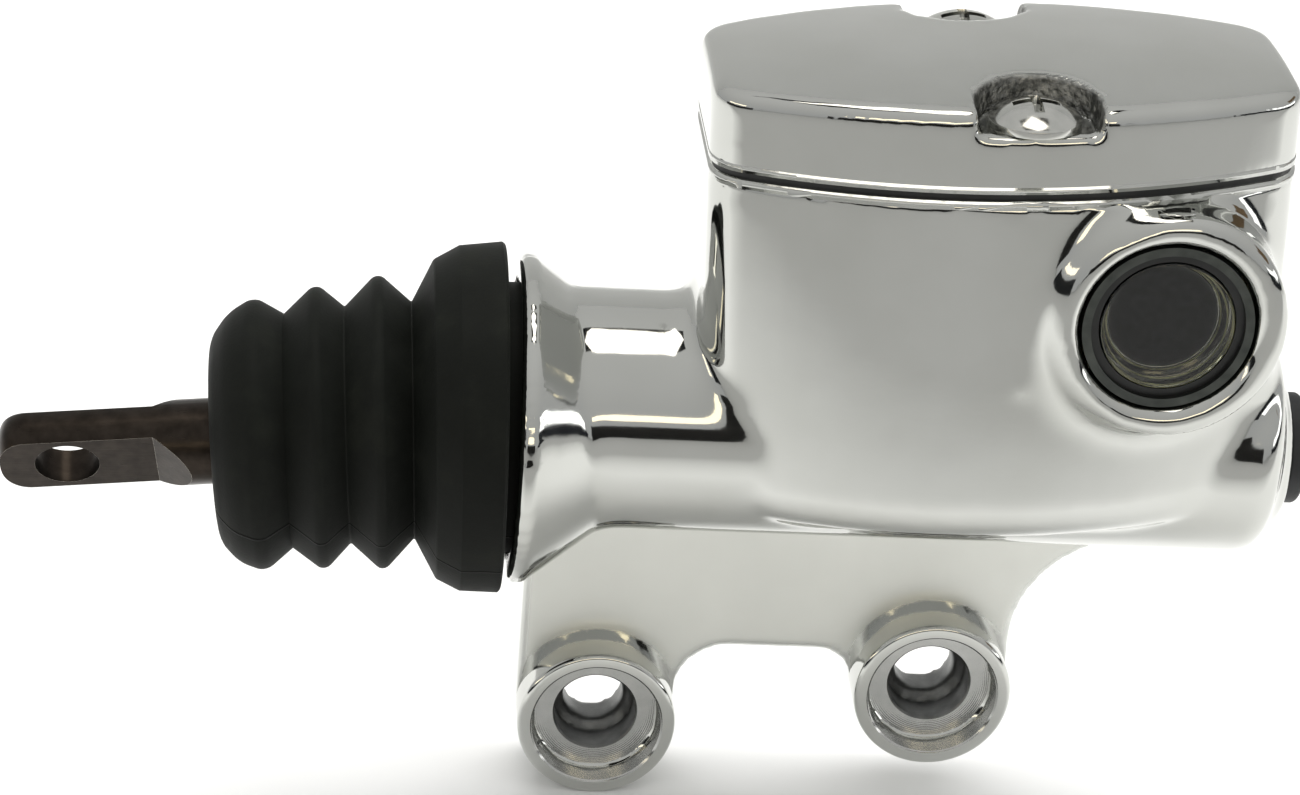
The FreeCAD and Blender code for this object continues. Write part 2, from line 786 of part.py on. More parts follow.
def make_port_baffle():
    """Small bridge of sheet steel over the two ports, standing on the reservoir floor."""
    tilt = size.reservoir_tilt
    floor = -size.cavity_depth
    x = feed_port - size.port_spacing / 2 - size.reservoir_middle - size.baffle_shift
    base = (
        reservoir_base[0] + x * cosine(tilt) - floor * sine(tilt),
        reservoir_base[1],
        reservoir_base[2] + x * sine(tilt) + floor * cosine(tilt),
    )
    body = new_body("port_baffle", base, (0, 1, 0), lean)
    section = new_sketch(body, "baffle_section", "XZ_Plane")
    half, metal, rise = size.port_spacing / 2 + size.baffle_margin, size.baffle_metal, size.baffle_rise
    draw_outline(section, [
        (-half, 0.0), (-half + metal, 0.0), (-half + metal, rise - metal), (half - metal, rise - metal),
        (half - metal, 0.0), (half, 0.0), (half, rise), (-half, rise),
    ])
    extrude(body, section, size.baffle_width, both=True)


# ---------------------------------------------------------------- sight glass


def glass_part(name, forward, profile):
    """A part turned about the sight glass's axis; profile runs outwards from this plane."""
    body = new_body(name, (size.sight_across, -forward, size.sight_height))
    sketch = new_sketch(body, f"{name}_profile", "XY_Plane")
    draw_outline(sketch, [(radius, -out) for radius, out in profile])
    turn(body, sketch, "V_Axis")


def make_sight_glass():
    outer = size.glass_seat_radius - size.glass_gap
    stem = size.window_radius - size.glass_gap
    flange = size.glass_flange
    recess = size.reflector_radius + size.cup_gap
    hollow = size.glass_back - size.reflector_thickness
    glass_part("sight_glass_lens", glass_seat_forward, [
        (0.0, -hollow), (recess, -hollow), (recess, -size.glass_back), (stem, -size.glass_back), (stem, 0.0),
        (outer, 0.0), (outer, flange), (stem, flange), (stem, size.glass_front), (0.0, size.glass_front),
    ])
    thickness = size.reflector_thickness
    glass_part("sight_glass_reflector", glass_seat_forward - hollow, [
        (0.0, -thickness), (size.reflector_radius, -thickness), (size.reflector_radius, 0.0), (0.0, 0.0),
    ])
    seal_back, seal_front = flange, flange + size.seal_thickness
    inner = stem + size.cup_gap
    glass_part("sight_glass_seal", glass_seat_forward, [
        (inner, seal_back), (outer, seal_back), (outer, seal_front), (inner, seal_front),
    ])
    ring = outer - size.retainer_width
    ring_front = seal_front + size.retainer_thickness
    glass_part("sight_glass_retainer", glass_seat_forward, [
        (ring, seal_front), (outer, seal_front), (outer, ring_front), (ring, ring_front),
    ])


# ---------------------------------------------------------------- piston group


def make_piston():
    """Piston with a land behind the ball socket, a groove for the rear cup, a waist under the
    reservoir's ports, and a nose that carries the front cup and the spring seat."""
    outer = size.bore_radius - size.piston_gap
    socket = size.ball_radius + size.ball_gap
    deep = size.ball_centre + socket
    groove = deep + size.land_width
    land = groove + size.rear_groove
    rear, waist = size.piston_back, size.piston_waist
    land_end = land + size.land_width
    head, step = size.piston_step - size.head_width, size.piston_step
    nose, tip = size.nose_radius, size.piston_nose
    body = turned_part("piston", on_bore, [
        (rear, 0.0), (rear, outer), (groove, outer), (groove, waist), (land, waist), (land, outer),
        (land_end, outer), (land_end, waist), (head, waist), (head, outer),
        (step, outer), (step, nose), (tip, nose), (tip, 0.0),
    ])
    hollow = new_sketch(body, "ball_socket", "XZ_Plane")
    mouth = rear - size.overrun
    points = [(mouth, 0.0), (mouth, socket), (size.ball_centre, socket), (deep, 0.0)]
    draw_outline(hollow, points, {2: socket})
    turn(body, hollow, "H_Axis", cut=True)
    return groove, outer


def make_cup(name, start, length, heel, inner):
    """A rubber cup: a solid heel, and a lip that opens towards the fluid."""
    lip = size.bore_radius - size.cup_lip_gap
    end = start + length
    turned_part(name, on_bore, [
        (start, inner), (start, lip - size.cup_heel_relief), (end, lip), (end, lip - size.cup_lip_thickness),
        (start + heel, lip - size.cup_lip_root), (start + heel, inner + size.cup_inner_wall),
        (start + heel, inner),
    ])


def make_piston_seals(groove, outer):
    """Both cups, the washer behind the front cup, and the spring's seat on the piston's nose."""
    make_cup("secondary_cup", groove + size.secondary_cup_start, size.secondary_cup_length,
             size.secondary_cup_heel, size.piston_waist + size.cup_gap)
    fit = size.nose_radius + size.cup_gap
    step = size.piston_step
    cup = step + size.backing_washer_thickness
    edge = outer - size.backing_washer_gap
    turned_part("cup_backing_washer", on_bore, [(step, fit), (step, edge), (cup, edge), (cup, fit)])
    make_cup("primary_cup", cup, size.primary_cup_length, size.primary_cup_heel, fit)
    seat = cup + size.primary_cup_heel
    sleeve = fit + size.spring_seat_wall
    flange = size.spring_radius + size.spring_wire / 2
    back = seat + size.spring_seat_flange_back
    front = back + size.spring_seat_flange
    end = seat + size.spring_seat_length
    turned_part("spring_seat", on_bore, [
        (seat, fit), (seat, sleeve), (back, sleeve), (back, flange), (front, flange), (front, sleeve),
        (end, sleeve), (end, fit),
    ])
    return front


def make_return_spring(start):
    """Round wire wound about the bore, from the spring seat to the end of the bore."""
    wire = size.spring_wire / 2
    length = size.bore_end - start - 2 * wire - 2 * size.spring_end_gap
    helix = Part.makeHelix(float(size.spring_pitch), float(length), float(size.spring_radius))
    start_point = Vector(float(size.spring_radius), 0, 0)
    section = Part.Wire(Part.makeCircle(float(wire), start_point, Vector(0, 1, 0)))
    coil = Part.Wire(helix).makePipeShell([section], True, True)
    spring = doc.addObject("Part::Feature", "return_spring")
    spring.Label = "return_spring"
    spring.Shape = coil
    place = Vector(float(start + wire + size.spring_end_gap), float(bore_y), float(bore_z))
    spring.Placement = FreeCAD.Placement(place, Rotation(Vector(0, 1, 0), 90))
    subparts.append(spring)


def make_stop_rings():
    """The washer that stops the piston, and the circlip that holds it."""
    outer = size.washer_seat_radius - size.stop_washer_gap
    hole = size.ball_radius - size.stop_washer_lap
    turned_part("stop_washer", on_bore, [
        (washer_back, hole), (washer_back, outer), (washer_seat, outer), (washer_seat, hole),
    ])
    inner, rim = size.washer_seat_radius - size.circlip_reach, size.ring_groove_radius - size.circlip_gap
    body = turned_part("circlip", on_bore, [
        (ring_back, inner), (ring_back, rim), (washer_back, rim), (washer_back, inner),
    ])
    gap = new_sketch(body, "circlip_gap", "YZ_Plane", (0.0, 0.0, ring_back - size.overrun))
    low, side = -size.ring_groove_radius - size.overrun, size.circlip_opening / 2
    top = -size.circlip_opening_floor
    draw_outline(gap, [(-side, low), (side, low), (side, top), (-side, top)])
    extrude(body, gap, size.ring_thickness + 2 * size.overrun, cut=True, reverse=True)


def make_outlet_plug():
    """Push-in plug that keeps the outlet port clean until a hose is fitted."""
    shank = size.outlet_port_radius - size.plug_gap
    inner = size.outlet_face - size.outlet_port_depth + size.plug_end_gap
    face, front = size.outlet_face, size.outlet_face + size.plug_head_thickness
    head = size.plug_head_radius
    body = turned_part("outlet_plug", on_bore, [
        (inner, 0.0), (inner, shank), (face, shank), (face, head), (front, head), (front, 0.0),
    ])
    round_edges(body, size.plug_round, lambda e: is_round(e, (front, 0.0, 0.0), head))


# ---------------------------------------------------------------- push rod and boot


def make_pushrod():
    """Ball-ended rod, drooping about its ball, with two milled flats and an eye for a clevis pin."""
    body = new_body("pushrod", (size.ball_centre, bore_y, bore_z), (0, 1, 0), -size.rod_droop)
    rod, ball, tip = size.rod_radius, size.ball_radius, size.tip_round
    thin = size.neck_radius
    neck_start, neck_end = -root(ball * ball - thin * thin), -size.neck_length
    end = -size.tongue_end
    profile = new_sketch(body, "rod_profile", "XZ_Plane")
    draw_outline(profile, [
        (ball, 0.0), (neck_start, thin), (neck_end, thin), (neck_end - size.neck_blend, rod),
        (end + tip, rod), (end, rod - tip), (end, 0.0),
    ], {0: -ball, 4: -tip})
    turn(body, profile, "H_Axis")
    half = size.tongue_thickness / 2
    far = end - size.overrun
    start = -size.tongue_start
    flat_end = start + rod - half + size.tongue_runout
    across = 4 * rod
    for side, way in (("front", 1), ("rear", -1)):
        flat = new_sketch(body, f"flat_{side}", "XY_Plane", (0.0, 0.0, 0.0), size.rod_roll, (1, 0, 0))
        wide = way * (rod + size.overrun)
        draw_outline(flat, [(far, way * half), (start, way * half), (flat_end, wide), (far, wide)])
        extrude(body, flat, across, cut=True, both=True)
    eye = new_sketch(body, "eye", "XZ_Plane", (0.0, 0.0, 0.0), size.rod_roll, (1, 0, 0))
    draw_circle(eye, -size.eye_distance, 0.0, size.eye_radius)
    extrude(body, eye, across, cut=True, both=True)


def boot_stations():
    """Distance from the rim, and radius, of each ring of the bellows, from the rim to the rod."""
    rim, end = size.boot_rim_radius, size.boot_length
    stations = [
        (0.0, rim - size.boot_rim_bevel),
        (size.boot_rim_chamfer, rim),
        (size.boot_band, rim),
        (size.boot_shoulder, size.boot_shoulder_radius),
    ]
    for fold in range(BOOT_FOLDS):
        crest = size.boot_first_fold + fold * size.boot_fold_pitch
        stations.append((crest - size.boot_fold_pitch / 2, size.boot_valley_radius))
        stations.append((crest, size.boot_fold_radius - fold * size.boot_fold_taper))
    stations.append((end - size.boot_end_band, size.boot_end_band_radius))
    stations.append((end, size.boot_end_radius))
    return stations


def boot_sketch(body, name, back, bend):
    """A sketch square to the boot's bent axis, this far behind its rim; the axis runs from the
    bore's to the drooping rod's as bend goes from 0 to 1."""
    drop = (size.ball_centre - boot_front + back) * droop_slope * bend
    offset = (bore_y, bore_z - drop, boot_front - back)
    return new_sketch(body, name, "YZ_Plane", offset, -size.rod_droop * bend, (1, 0, 0))


def loft(body, rings, name, cut):
    """A ruled loft through circles on the boot's bent axis."""
    sketches = []
    for number, (back, radius) in enumerate(rings):
        bend = max(float(back / size.boot_length), 0.0) ** BOOT_BEND
        ring = boot_sketch(body, f"{name}_{number}", back, bend)
        draw_circle(ring, 0.0, 0.0, radius)
        sketches.append(ring)
    kind = "PartDesign::SubtractiveLoft" if cut else "PartDesign::AdditiveLoft"
    feature = body.newObject(kind, f"{name}_loft")
    feature.Profile = sketches[0]
    feature.Sections = sketches[1:]
    feature.Ruled = True
    return checked(body, feature, not cut)


def make_boot():
    """Rubber bellows from the bell mouth, which its lip plugs, to the rod, which it grips."""
    body = new_body("boot")
    stations = boot_stations()
    loft(body, stations, "boot_outside", cut=False)
    wall, length = size.boot_wall, size.boot_length
    lip_length = size.boot_rim_gap + size.mouth_depth - size.boot_lip_gap
    lip = new_sketch(body, "boot_lip", "YZ_Plane", (0.0, 0.0, boot_front - size.boot_rim_bevel))
    draw_circle(lip, bore_y, bore_z, size.boot_lip_radius)
    extrude(body, lip, lip_length + size.boot_rim_bevel)
    inner = size.boot_lip_radius - wall
    folds = [(back, radius - wall) for back, radius in stations[4:-1]]
    hollow = [(-lip_length - size.boot_lip_gap, inner), (size.boot_band, inner)]
    loft(body, hollow + folds[:-1], "boot_inside", cut=True)
    hole = boot_sketch(body, "rod_hole", length, 1.0)
    draw_circle(hole, 0.0, 0.0, size.rod_radius + size.boot_rod_gap)
    extrude(body, hole, 4 * size.boot_fold_pitch, cut=True, both=True)


# ---------------------------------------------------------------- build, check, write

make_housing()
make_cover()
make_diaphragm()
make_cover_screw("cover_screw_front", 1)
make_cover_screw("cover_screw_rear", -1)
make_port_baffle()
make_sight_glass()
rear_groove, piston_radius = make_piston()
make_return_spring(make_piston_seals(rear_groove, piston_radius))
make_stop_rings()
make_outlet_plug()
make_pushrod()
make_boot()

doc.recompute()
for thing in doc.Objects:
    if "Invalid" in thing.State or "Error" in thing.State:
        raise RuntimeError(f"{thing.Label} is {thing.State}")
for part in subparts:
    if part.Shape.isNull() or not part.Shape.isValid():
        raise RuntimeError(f"{part.Label} has no valid shape")

os.makedirs("parts", exist_ok=True)
for part in subparts:
    part.Shape.exportStep(os.path.join("parts", f"{part.Label}.step"))
    box = part.Shape.BoundBox
    print(f"{part.Label}: {part.Shape.Volume:.1f} mm3, {len(part.Shape.Solids)} solid, "
          f"{box.XLength:.1f} x {box.YLength:.1f} x {box.ZLength:.1f}")
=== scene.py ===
import json
import math

import bmesh
import bpy
from mathutils import Matrix, Vector


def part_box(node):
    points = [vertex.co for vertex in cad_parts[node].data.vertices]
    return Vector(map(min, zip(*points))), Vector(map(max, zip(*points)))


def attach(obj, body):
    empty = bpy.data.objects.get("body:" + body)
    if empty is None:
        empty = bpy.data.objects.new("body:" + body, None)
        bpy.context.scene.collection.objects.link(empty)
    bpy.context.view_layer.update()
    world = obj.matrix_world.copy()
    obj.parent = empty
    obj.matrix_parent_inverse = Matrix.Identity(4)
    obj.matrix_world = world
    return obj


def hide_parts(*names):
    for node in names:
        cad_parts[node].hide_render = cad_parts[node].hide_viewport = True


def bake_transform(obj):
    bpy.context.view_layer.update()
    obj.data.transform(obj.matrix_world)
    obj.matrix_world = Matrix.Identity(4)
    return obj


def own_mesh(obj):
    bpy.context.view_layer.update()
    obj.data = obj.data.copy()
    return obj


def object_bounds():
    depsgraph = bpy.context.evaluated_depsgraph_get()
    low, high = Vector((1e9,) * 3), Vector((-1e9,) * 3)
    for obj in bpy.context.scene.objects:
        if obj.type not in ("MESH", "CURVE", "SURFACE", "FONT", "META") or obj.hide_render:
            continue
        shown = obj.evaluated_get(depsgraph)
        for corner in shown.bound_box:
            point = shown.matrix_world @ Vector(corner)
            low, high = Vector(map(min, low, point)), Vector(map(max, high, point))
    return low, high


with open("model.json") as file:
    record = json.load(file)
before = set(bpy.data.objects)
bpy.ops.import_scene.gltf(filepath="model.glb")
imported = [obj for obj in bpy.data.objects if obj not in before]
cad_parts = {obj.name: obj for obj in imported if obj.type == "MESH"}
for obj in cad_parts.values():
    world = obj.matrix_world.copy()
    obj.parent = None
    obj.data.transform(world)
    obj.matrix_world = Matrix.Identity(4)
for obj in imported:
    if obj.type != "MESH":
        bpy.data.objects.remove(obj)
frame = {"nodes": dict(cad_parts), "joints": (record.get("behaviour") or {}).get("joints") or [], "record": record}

bl_info = {
    "name": "Brake master cylinder looks",
    "version": (1, 0, 0),
    "blender": (4, 5, 0),
    "location": "3D View > Sidebar > Master cylinder",
    "description": "Builds the visible pieces and finishes of a brake master cylinder round its CAD frame",
    "category": "Add Mesh",
}

MM = 0.001
CAD_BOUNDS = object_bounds()


def joint(name):
    return next(j for j in frame["joints"] if j["name"] == name)


def mount(name):
    return next(m for m in frame["record"]["mounts"] if m["name"] == name)


def middle(node):
    low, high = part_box(node)
    return (low + high) / 2


BALL = Vector(joint("pushrod_swing")["pos_m"])
EYE = Vector(mount("clevis_eye")["pos_m"])
HOLES = [Vector(mount(name)["pos_m"]) for name in ("mounting_bore_left", "mounting_bore_right")]
SIGHT = middle("sight_glass_lens")
BORE = Vector((0.0, BALL.y, BALL.z))
DROOP = math.atan2(BALL.z - EYE.z, BALL.x - EYE.x)
BELL_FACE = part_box("housing")[0].x
ALONG_X, ALONG_Y = Vector((1, 0, 0)), Vector((0, 1, 0))

# the reservoir's joint: its lean along the bore, its gasket, and the crisp lips above and below
RESERVOIR_LEAN = math.radians(2.7)
GASKET = 0.8 * MM
COVER_LIP, RIM_LIP = 0.7 * MM, 0.9 * MM
# the bolt bosses: how far they stand off the plate, and their counterbore, seat and recess
BOSS_RADIUS, BOSS_RISE = 8.7 * MM, 4.8 * MM
SEAT_RADIUS, SEAT_DEPTH = 7.12 * MM, 3.05 * MM
RECESS_RADIUS, RECESS_DEPTH = 4.5 * MM, 4.0 * MM
PLATE_TOP = 25 * MM  # below this height the casting is plate, flat with its edges only broken
# how far from each axis the casting is machined, so that polishing leaves it crisp
BOLT_REACH, BOSS_REACH, GLASS_REACH, BELL_REACH = 7.9 * MM, 9.6 * MM, 10.3 * MM, 15.2 * MM
GLASS_DEPTH, BELL_LIP = 4.0 * MM, 2.0 * MM
SKIN_SINK = 0.25 * MM  # the skin steps back this far under a crisp piece
HOLLOW_ANGLE = math.radians(14)  # an inside corner turns by at least this
# the cover's screw pockets, left as cast
POCKET_RADIUS, POCKET_FADE = 7.3 * MM, 0.6 * MM
# the boot, in millimetres from its front: ends of its collar, folds and tail, and their radii
COLLAR_END, FOLDS_END, TAIL_END = 4.4, 21.7, 29.4
COLLAR_RADIUS, FOLDS_RADIUS = 17.85, 12.1
BOOT_INSET = 1.3 * MM  # the boot's rim stands this far out of the bell
RIM_SHIFT, RIM_TILT = 0.3 * MM, 0.025  # it is pushed in a little, lower edge first
SEAM_TURN = math.radians(-33)  # how far round the boot its mould line lies


# ---------------------------------------------------------------- nodes and materials


def linear(code):
    """An sRGB hex colour as linear red, green, blue and alpha."""
    parts = [int(code[i:i + 2], 16) / 255 for i in (1, 3, 5)]
    return tuple(c / 12.92 if c <= 0.04045 else ((c + 0.055) / 1.055) ** 2.4 for c in parts) + (1.0,)


def add(tree, kind, links=None, **settings):
    """Adds a node; settings are its own properties, links are its inputs, as sockets or values."""
    made = tree.nodes.new(kind)
    for name, value in settings.items():
        setattr(made, name, value)
    for name, value in (links or {}).items():
        if isinstance(value, bpy.types.NodeSocket):
            tree.links.new(value, made.inputs[name])
        else:
            made.inputs[name].default_value = value
    return made


def ramp(tree, factor, stops):
    """A colour ramp; stops are (place, colour), each colour a hex code or linear."""
    made = add(tree, "ShaderNodeValToRGB", {"Fac": factor})
    elements = made.color_ramp.elements
    while len(elements) < len(stops):
        elements.new(1.0)
    for element, (place, colour) in zip(elements, stops):
        element.position = place
        element.color = linear(colour) if isinstance(colour, str) else colour
    return made.outputs["Color"]


def grain(tree, size, detail=3.0, stretch=(1, 1, 1)):
    """Noise whose features are about this many metres across, on Object coordinates."""
    place = add(tree, "ShaderNodeTexCoord").outputs["Object"]
    if stretch != (1, 1, 1):
        place = add(tree, "ShaderNodeMapping", {"Vector": place, "Scale": stretch}).outputs["Vector"]
    noise = add(tree, "ShaderNodeTexNoise", {"Vector": place, "Scale": 1 / size, "Detail": detail})
    return noise.outputs["Fac"]


def bump(tree, height, depth, normal=None):
    """Bumps this many metres high."""
    links = {"Height": height, "Strength": 1.0, "Distance": depth}
    if normal:
        links["Normal"] = normal
    return add(tree, "ShaderNodeBump", links).outputs["Normal"]


def attribute(tree, name):
    return add(tree, "ShaderNodeAttribute", attribute_name=name).outputs["Fac"]


def blend_value(tree, factor, low, high):
    links = {"Value": factor, "To Min": low, "To Max": high}
    return add(tree, "ShaderNodeMapRange", links).outputs["Result"]


def new_material(name, **sockets):
    """A material with one Principled shader; returns it with its tree and shader."""
    made = bpy.data.materials.new(name)
    made.use_nodes = True
    tree = made.node_tree
    shader = tree.nodes["Principled BSDF"]
    for socket, value in sockets.items():
        shader.inputs[socket.replace("_", " ")].default_value = value
    return made, tree, shader


def set_input(tree, shader, name, socket):
    tree.links.new(socket, shader.inputs[name])


def polished_casting():
    """Aluminium casting, polished on wheels and chromed: mirror bright, with the slow waves that
    hand polishing leaves and faint wipe marks; cast skin is left in the screw pockets. The plate's
    front faces are satin, and are also painted paler there, a painted light."""
    made, tree, shader = new_material("polished_chromed_casting", Metallic=1.0)
    rough_cast = attribute(tree, "cast_skin")
    satin_and_painted_light = attribute(tree, "satin_and_painted_light")
    cloud = grain(tree, 14 * MM)
    bright = ramp(tree, cloud, [(0.3, "#c5c6c2"), (0.7, "#cdcecb")])
    # painted light: satin faces get a paler tint as well as their rougher finish
    satin_lightened = ramp(tree, cloud, [(0.3, "#e0e1dc"), (0.7, "#e8e9e4")])
    tint = add(tree, "ShaderNodeMix", {0: satin_and_painted_light, 6: bright, 7: satin_lightened}, data_type="RGBA").outputs[2]
    skin = ramp(tree, grain(tree, 0.9 * MM), [(0.35, "#5d5e5c"), (0.65, "#9d9d9a")])
    mix = add(tree, "ShaderNodeMix", {0: rough_cast, 6: tint, 7: skin}, data_type="RGBA")
    set_input(tree, shader, "Base Color", mix.outputs[2])
    wipe = grain(tree, 0.9 * MM, 4.0, (0.12, 1, 1))
    polish = blend_value(tree, wipe, 0.035, 0.10)
    satin_rough = add(tree, "ShaderNodeMix", {0: satin_and_painted_light, 2: polish, 3: 0.42})
    rough = add(tree, "ShaderNodeMix", {0: rough_cast, 2: satin_rough.outputs[0], 3: 0.42})
    set_input(tree, shader, "Roughness", rough.outputs[0])
    waves = bump(tree, grain(tree, 9 * MM, 1.0), 0.03 * MM)
    peel = bump(tree, grain(tree, 0.8 * MM, 2.0), 0.0012 * MM, waves)
    pits = add(tree, "ShaderNodeMath", {0: grain(tree, 0.7 * MM, 3.0), 1: rough_cast}, operation="MULTIPLY")
    set_input(tree, shader, "Normal", bump(tree, pits.outputs[0], 0.35 * MM, peel))
    return made


def turned_seat():
    """Chromed aluminium bored after casting: fine rings left by the tool round the bolt's axis."""
    made, tree, shader = new_material("bored_chromed_seat", Metallic=1.0)
    ring = attribute(tree, "ring_radius")
    pitch = 0.22 * MM
    phase = add(tree, "ShaderNodeMath", {0: ring, 1: 2 * math.pi / pitch}, operation="MULTIPLY")
    wave = add(tree, "ShaderNodeMath", {0: phase.outputs[0]}, operation="SINE").outputs[0]
    uneven = add(tree, "ShaderNodeMath", {0: wave, 1: grain(tree, 3 * MM)}, operation="MULTIPLY").outputs[0]
    tone = ramp(tree, grain(tree, 2 * MM), [(0.3, "#bcbdbb"), (0.7, "#cacac8")])
    set_input(tree, shader, "Base Color", tone)
    set_input(tree, shader, "Roughness", blend_value(tree, grain(tree, 0.6 * MM), 0.10, 0.26))
    set_input(tree, shader, "Normal", bump(tree, uneven, 0.006 * MM))
    return made


def drilled_hole():
    """Drilled aluminium that the plating barely reached, with drill marks; its dark grey is painted shade."""
    made, tree, shader = new_material("drilled_aluminium_painted_shade", Metallic=1.0)
    marks = grain(tree, 0.5 * MM, 3.0, (1, 4, 1))
    # painted shade: the hole walls are coloured dark grey for the shade inside the holes
    tone = ramp(tree, grain(tree, 2 * MM), [(0.3, "#6a6b6b"), (0.7, "#838483")])
    set_input(tree, shader, "Base Color", tone)
    set_input(tree, shader, "Roughness", blend_value(tree, marks, 0.30, 0.5))
    set_input(tree, shader, "Normal", bump(tree, marks, 0.02 * MM))
    return made


def chromed_screw():
    """Chrome plate over a cold-headed steel screw: bright, with a slight orange peel."""
    made, tree, shader = new_material("chromed_steel_screw", Metallic=1.0)
    tone = ramp(tree, grain(tree, 1.5 * MM), [(0.3, "#c3c4c0"), (0.7, "#d0d0cc")])
    set_input(tree, shader, "Base Color", tone)
    set_input(tree, shader, "Roughness", blend_value(tree, grain(tree, 0.5 * MM), 0.08, 0.2))
    set_input(tree, shader, "Normal", bump(tree, grain(tree, 0.5 * MM), 0.004 * MM))
    return made


def boot_rubber():
    """Moulded EPDM: a matt warm black with a soft sheen, dusty grey-green on the flanks, the
    mould's fine grain, and the thin raised line where the mould's halves met, painted near black
    along it as a painted shadow."""
    made, tree, shader = new_material("moulded_epdm", Specular_IOR_Level=0.14)
    dust = grain(tree, 5 * MM, 5.0)
    fine = grain(tree, 0.35 * MM, 3.0)
    clean = settings("finish").rubber
    base = ramp(tree, dust, [(0.25, "#0c0e0b"), (0.55, clean), (0.8, "#1c1e19")])
    set_input(tree, shader, "Roughness", blend_value(tree, dust, 0.52, 0.72))
    place = add(tree, "ShaderNodeTexCoord").outputs["Object"]
    from_bore = add(tree, "ShaderNodeVectorMath", {0: place, 1: BORE}, operation="SUBTRACT").outputs[0]
    square = (0.0, math.sin(SEAM_TURN), math.cos(SEAM_TURN))
    off = add(tree, "ShaderNodeVectorMath", {0: from_bore, 1: square}, operation="DOT_PRODUCT")
    wander = add(tree, "ShaderNodeMath", {
        0: grain(tree, 7 * MM, 1.0), 1: 1.1 * MM, 2: off.outputs["Value"],
    }, operation="MULTIPLY_ADD").outputs[0]
    away = add(tree, "ShaderNodeMath", {0: wander}, operation="ABSOLUTE").outputs[0]
    seam_and_shadow = add(tree, "ShaderNodeMapRange", {
        "Value": away, "From Min": 0.04 * MM, "From Max": 0.2 * MM, "To Min": 1.0, "To Max": 0.0,
    }).outputs["Result"]
    # painted shadow: the raised seam is coloured near black
    tone = add(tree, "ShaderNodeMix", {0: seam_and_shadow, 6: base, 7: linear("#050605")}, data_type="RGBA").outputs[2]
    set_input(tree, shader, "Base Color", tone)
    seam = bump(tree, seam_and_shadow, 0.14 * MM)
    set_input(tree, shader, "Normal", bump(tree, fine, 0.02 * MM, seam))
    return made


def seal_rubber():
    """Moulded nitrile: near black, smooth and faintly glossy from its mould."""
    made, tree, shader = new_material("moulded_nitrile", Specular_IOR_Level=0.5)
    tone = ramp(tree, grain(tree, 2 * MM), [(0.3, "#0f1010"), (0.7, "#1b1c1c")])
    set_input(tree, shader, "Base Color", tone)
    set_input(tree, shader, "Roughness", blend_value(tree, grain(tree, 0.8 * MM), 0.28, 0.45))
    set_input(tree, shader, "Normal", bump(tree, grain(tree, 0.3 * MM), 0.006 * MM))
    return made


def plug_plastic():
    """Injection-moulded polyethylene: matt black with a fine spark-eroded texture."""
    made, tree, shader = new_material("moulded_polyethylene", Specular_IOR_Level=0.45)
    tone = ramp(tree, grain(tree, 3 * MM), [(0.3, "#161719"), (0.7, "#222426")])
    set_input(tree, shader, "Base Color", tone)
    set_input(tree, shader, "Roughness", blend_value(tree, grain(tree, 0.5 * MM), 0.45, 0.6))
    set_input(tree, shader, "Normal", bump(tree, grain(tree, 0.25 * MM), 0.012 * MM))
    return made


def rod_steel():
    """Phosphated steel: dark brown-black and fine grained, with length-wise milling marks."""
    made, tree, shader = new_material("phosphated_steel", Metallic=1.0)
    chosen = settings("finish")
    tone = ramp(tree, grain(tree, 1.6 * MM, 5.0), [(0.3, chosen.rod_dark), (0.7, chosen.rod_light)])
    set_input(tree, shader, "Base Color", tone)
    marks = grain(tree, 0.22 * MM, 3.0, (0.05, 1, 1))
    set_input(tree, shader, "Roughness", blend_value(tree, marks, 0.22, 0.40))
    set_input(tree, shader, "Normal", bump(tree, marks, 0.010 * MM))
    return made


def plain_metal(name, low, high, rough, size):
    """Bright or dull metal with a fine uneven grain."""
    made, tree, shader = new_material(name, Metallic=1.0)
    set_input(tree, shader, "Base Color", ramp(tree, grain(tree, size * 4), [(0.3, low), (0.7, high)]))
    set_input(tree, shader, "Roughness", blend_value(tree, grain(tree, size), rough, rough + 0.14))
    set_input(tree, shader, "Normal", bump(tree, grain(tree, size), 0.006 * MM))
    return made


def clear_lens():
    """Moulded polycarbonate: clear with a faint straw tint, and slight flow lines."""
    made, tree, shader = new_material(
        "clear_polycarbonate", Transmission_Weight=1.0, IOR=1.585, Base_Color=linear("#f3f4e2"))
    set_input(tree, shader, "Roughness", blend_value(tree, grain(tree, 1.2 * MM), 0.0, 0.05))
    set_input(tree, shader, "Normal", bump(tree, grain(tree, 2.5 * MM, 1.0), 0.004 * MM))
    return made


def lens_edge():
    """The lens's moulded steps, which gather light and look pale straw from the front."""
    made, tree, shader = new_material("polycarbonate_edge", Specular_IOR_Level=0.6)
    tone = ramp(tree, grain(tree, 4 * MM, 2.0), [(0.35, "#6f6e52"), (0.65, "#c9c8a4")])
    set_input(tree, shader, "Base Color", tone)
    set_input(tree, shader, "Roughness", blend_value(tree, grain(tree, 0.8 * MM), 0.15, 0.35))
    return made


def disc_plastic():
    """Matt dark grey moulded disc behind the lens."""
    made, tree, shader = new_material("moulded_grey_disc", Specular_IOR_Level=0.4)
    tone = ramp(tree, grain(tree, 0.8 * MM, 4.0), [(0.3, "#35383a"), (0.7, "#404345")])
    set_input(tree, shader, "Base Color", tone)
    set_input(tree, shader, "Roughness", blend_value(tree, grain(tree, 0.4 * MM), 0.55, 0.7))
    set_input(tree, shader, "Normal", bump(tree, grain(tree, 0.2 * MM), 0.01 * MM))
    return made


# ---------------------------------------------------------------- meshes


def merged_copy(node):
    """A bmesh of a CAD node with its loose triangles joined."""
    bm = bmesh.new()
    bm.from_mesh(frame["nodes"][node].data)
    bmesh.ops.remove_doubles(bm, verts=bm.verts, dist=0.002 * MM)
    return bm


